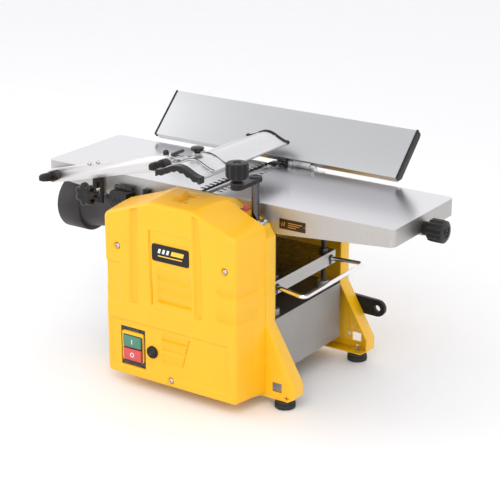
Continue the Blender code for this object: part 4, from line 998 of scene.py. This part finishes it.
def guard():
    def ribs(u):
        return 0.9 * within(0.39, 0.43, 0.012, abs(u)) - 0.5 * within(0.80, 0.84, 0.012, abs(u))
    shape = prism(gull_outline(GUARD_HALF, GUARD_LOW.z, GUARD_SKIN, ribs, count=180), "Y",
                  GUARD_LOW.y, GUARD_HIGH.y)
    piece("guard_rail", shape, "guard_metal", "guard", crease=50, stands_for=["guard_profile"])
    # painted shadow: dark strips under the guard's two lower edges, where its shadow falls
    edges = [block(x, (GUARD_LOW.y + 1, GUARD_HIGH.y - 1), (GUARD_LOW.z - 1.6, GUARD_LOW.z + 0.6))
             for x in ((GUARD_LOW.x + 0.8, GUARD_LOW.x + 3.4),
                       (GUARD_HIGH.x - 3.4, GUARD_HIGH.x - 0.8))]
    piece("guard_rail_edge_shadows", together(*edges), "dark_steel", "guard", "aluminium")

    low, high = span("guard_handle")

    def scallops(u):
        return 2.6 * (0.5 - 0.5 * cos(7 * pi * (u + 1))) * within(-0.92, 0.92, 0.05, u)
    grip = prism(gull_outline((high.x - low.x) / 2, low.z, high.z - low.z - GUARD_RISE,
                              under=scallops), "Y", low.y, high.y)
    piece("guard_front_grip", grip, "black_gloss", "guard", bevel=3.2, crease=50,
          stands_for=["guard_handle"])

    low, high = span("guard_end_cap")
    half = (high.x - low.x) / 2
    bar = prism(gull_outline(half - 2, low.z, high.z - low.z - GUARD_RISE), "Y", low.y, high.y)
    piece("guard_rear_bar", bar, "black_plastic", "guard", bevel=2.0, crease=50,
          stands_for=["guard_end_cap"])
    for label, x in (("left", low.x + 3.4), ("right", high.x - 3.4)):
        bulb = [(0, low.y - 1.6), (3.0, low.y - 1.4), (4.0, low.y - 0.2), (4.2, low.y + 3),
                (4.0, high.y - 1.6), (3.0, high.y - 0.3), (0, high.y - 0.1)]
        piece(f"guard_bar_end_{label}", turned(bulb, (x, 0, low.z + 4.0), "Y", 32),
              "black_plastic", "guard")

    refined("guard_holder", "guard_metal", bevel=0.5)
    low, high = span("guard_holder")
    left = GUARD_MIDDLE - GUARD_HALF
    # painted shadow: dark strips along the strap's front and rear edges stand for the shadow gaps
    # between the strap and the guard
    for label, y in (("front", low.y + 0.9), ("rear", high.y - 0.9)):
        shadow_strip = prism(gull_outline(GUARD_HALF - 0.5, GUARD_LOW.z + GUARD_SKIN + 3.2, 1.3), "Y",
                    y - 0.9, y + 0.9)
        piece(f"strap_edge_shadow_{label}", shadow_strip, "dark_steel", "holder", "aluminium")
    screw("strap_screw", (left + 8, low.y + 8, GUARD_LOW.z + 7.2), "Z", 4.0, "holder",
          "dark_steel")

    at, (low, high) = pivot("guard_clamp_turn"), span("guard_clamp_knob")
    foot = low.z + 3.2
    rings = together(turned(bar_profile(9.0, 0, 1.2), (at.x, at.y, foot + 0.3), "Z", 48),
                     turned(bar_profile(7.0, 0, 1.4), (at.x, at.y, foot + 1.6), "Z", 48))
    piece("clamp_washers", rings, "zinc", "guard_clamp_knob", bevel=0.2)
    cap = [(0, low.z), (3.8, low.z), (3.8, foot + 0.4), (6.4, foot + 1.8), (5.6, foot + 2.8),
           (5.8, foot + 4.6), (8.2, foot + 6.2), (11.2, foot + 7.4), (12.0, foot + 8.8),
           (12.0, foot + 11.4), (11.2, foot + 12.9), (8.6, foot + 13.7), (0, high.z)]
    piece("clamp_knob_cap", turned(cap, (at.x, at.y, 0), "Z", 96, 8, 0.9, (foot + 7, foot + 12)),
          "black_gloss", "guard_clamp_knob", stands_for=["guard_clamp_knob"])


def guard_arm():
    refined_all(("guard_arm", "arm_metal", 0.9), ("arm_slot_bracket", "black_plastic", 0.5))
    face = span("guard_arm")[0].y
    screws("arm_screw", [(-253, face, 13), (-233, face, 19)], "Y", 4.2, "arm", sign=-1)
    clamp_lever("arm_pivot_lever")
    clamp_lever("holder_pivot_lever")
    stud = turned(thread(3.0, -4, 30, 1.5, 0.45), (-72, 0, 56), "Y", 24)
    piece("holder_stud", stud, "dark_steel", "holder", "bright_steel")
    cap = [(0, 0), (5.6, 0), (5.6, 3.2), (5.0, 6.2), (3.2, 8.4), (0, 9.2)]
    piece("holder_cap_nut", turned(cap, (-92, 6, 51), "Z", 32), "black_gloss", "holder")
    plate = block((-99, -64), (-4, 14), (49.4, 52.6))
    piece("holder_top_plate", plate, "guard_metal", "holder", bevel=0.6)

    at, (low, high) = pivot("arm_lock_knob_turn"), span("arm_lock_knob")
    rings = []
    for y, grow in ((low.y + 16, 0.80), (low.y + 15, 0.92), (low.y + 12, 1.0), (low.y + 5, 1.0),
                    (low.y + 2, 0.94), (low.y + 0.6, 0.82), (low.y, 0.60), (low.y + 0.6, 0.3),
                    (low.y + 0.8, 0.05)):
        rings.append([(at.x + r * cos(a), y, at.z + r * sin(a)) for a, r in (
            (a, (22 - 5.0 * (0.5 - 0.5 * cos(7 * a)) ** 1.4) * grow) for a in circle(126))])
    hub = turned([(0, low.y + 15), (9, low.y + 15), (8.4, low.y + 30), (0, low.y + 30)],
                 (at.x, 0, at.z), "Y", 40)
    rod = turned(thread(3.0, low.y + 26, high.y, 1.5, 0.5), (at.x, 0, at.z), "Y", 24)
    piece("arm_lock_star", together(loft(rings), hub), "black_gloss", "arm_lock_knob", crease=50,
          stands_for=["arm_lock_knob"])
    piece("arm_lock_rod", rod, "zinc", "arm_lock_knob")


# ---- fence -------------------------------------------------------------------------------------
def fence():
    refined_all(("fence_plate", "extruded", 0.5), ("fence_cap_left", "black_plastic", 0.9),
                ("fence_cap_right", "black_plastic", 0.9), ("fence_swing_plate", "zinc", 0.5),
                ("fence_bracket", "zinc", 0.7), ("fence_lock_lever", "black_plastic", 1.8))
    coil = [turned([(0, -2.2), (5.2, -2.2), (6.4, 0), (5.2, 2.2), (0, 2.2)],
                   (9 + 5.0 * k, 220, 8 + 0.6 * k), "X", 24) for k in range(4)]
    piece("fence_adjuster", together(*coil), "black_gloss")


# ---- floor, light, camera ----------------------------------------------------------------------
FLOOR_REACH = 6.0                # metres from the machine to the floor's edges
SKY = 1.22
OVERHEAD = (0.72, 0.72, 0.74)
OVERHEAD_HEIGHT = 0.9
AIM = Vector((0.0, 0.0, 0.2))    # the point that the lamps look at
CAMERA_PLACE = Vector((1.46865, -2.15138, 1.15691))
CAMERA_TURN = radians(34.02183968)
CAMERA_RISE = radians(19.64627315)
CAMERA_LENS = 109.31
SENSOR = 36.0


def floor():
    mesh = bpy.data.meshes.new("floor")
    r = FLOOR_REACH
    mesh.from_pydata([(-r, -r, 0), (r, -r, 0), (r, r, 0), (-r, r, 0)], [], [(0, 1, 2, 3)])
    thing = place("floor", mesh)
    finish("floor_paint", (0.93, 0.93, 0.935), 0.62, patch=0.006, grain=0.02, specular=0.2)
    mesh.materials.append(PAINT["floor_paint"])


def sky():
    """An even studio: white all round the horizon and a little darker overhead."""
    world = bpy.data.worlds.new("studio")
    bpy.context.scene.world = world
    world.use_nodes = True
    tree = world.node_tree
    where = node(tree, "TexCoord").outputs["Generated"]
    split = node(tree, "SeparateXYZ")
    tree.links.new(where, split.inputs["Vector"])
    height = remap(tree, split.outputs["Z"], (0.0, OVERHEAD_HEIGHT))
    colour = blend(tree, height, (1.0, 1.0, 1.0), OVERHEAD)
    tree.links.new(colour, tree.nodes["Background"].inputs["Color"])
    tree.nodes["Background"].inputs["Strength"].default_value = SKY


def lamp(name, where, size, power):
    """A square softbox, with its side in metres and its power in watts."""
    light = bpy.data.lights.new(name, "AREA")
    light.size = size
    light.energy = power
    thing = place(name, light)
    thing.location = where
    thing.rotation_mode = "QUATERNION"
    thing.rotation_quaternion = (AIM - Vector(where)).to_track_quat("-Z", "Y")


def camera():
    back = Vector((sin(CAMERA_TURN) * cos(CAMERA_RISE), -cos(CAMERA_TURN) * cos(CAMERA_RISE),
                   sin(CAMERA_RISE)))
    right = Vector((cos(CAMERA_TURN), sin(CAMERA_TURN), 0))
    up = back.cross(right)
    lens = bpy.data.cameras.new("camera")
    lens.lens = CAMERA_LENS
    lens.sensor_width = SENSOR
    eye = place("camera", lens)
    eye.matrix_world = Matrix.Translation(CAMERA_PLACE) @ Matrix(
        (right, up, back)).transposed().to_4x4()
    bpy.context.scene.camera = eye


def build():
    bpy.context.scene.view_settings.view_transform = "Standard"
    for make in (front_cover, badge, switch, frames, base, feet, drives, rear_cover_details, bed,
                 crank, tables, chip_hood, guard, guard_arm, fence, floor, sky):
        make()
    lamp("key", (0.9, -1.9, 2.2), 1.6, 24.0)
    lamp("left", (-2.4, -0.9, 1.3), 1.8, 14.0)
    camera()


build()
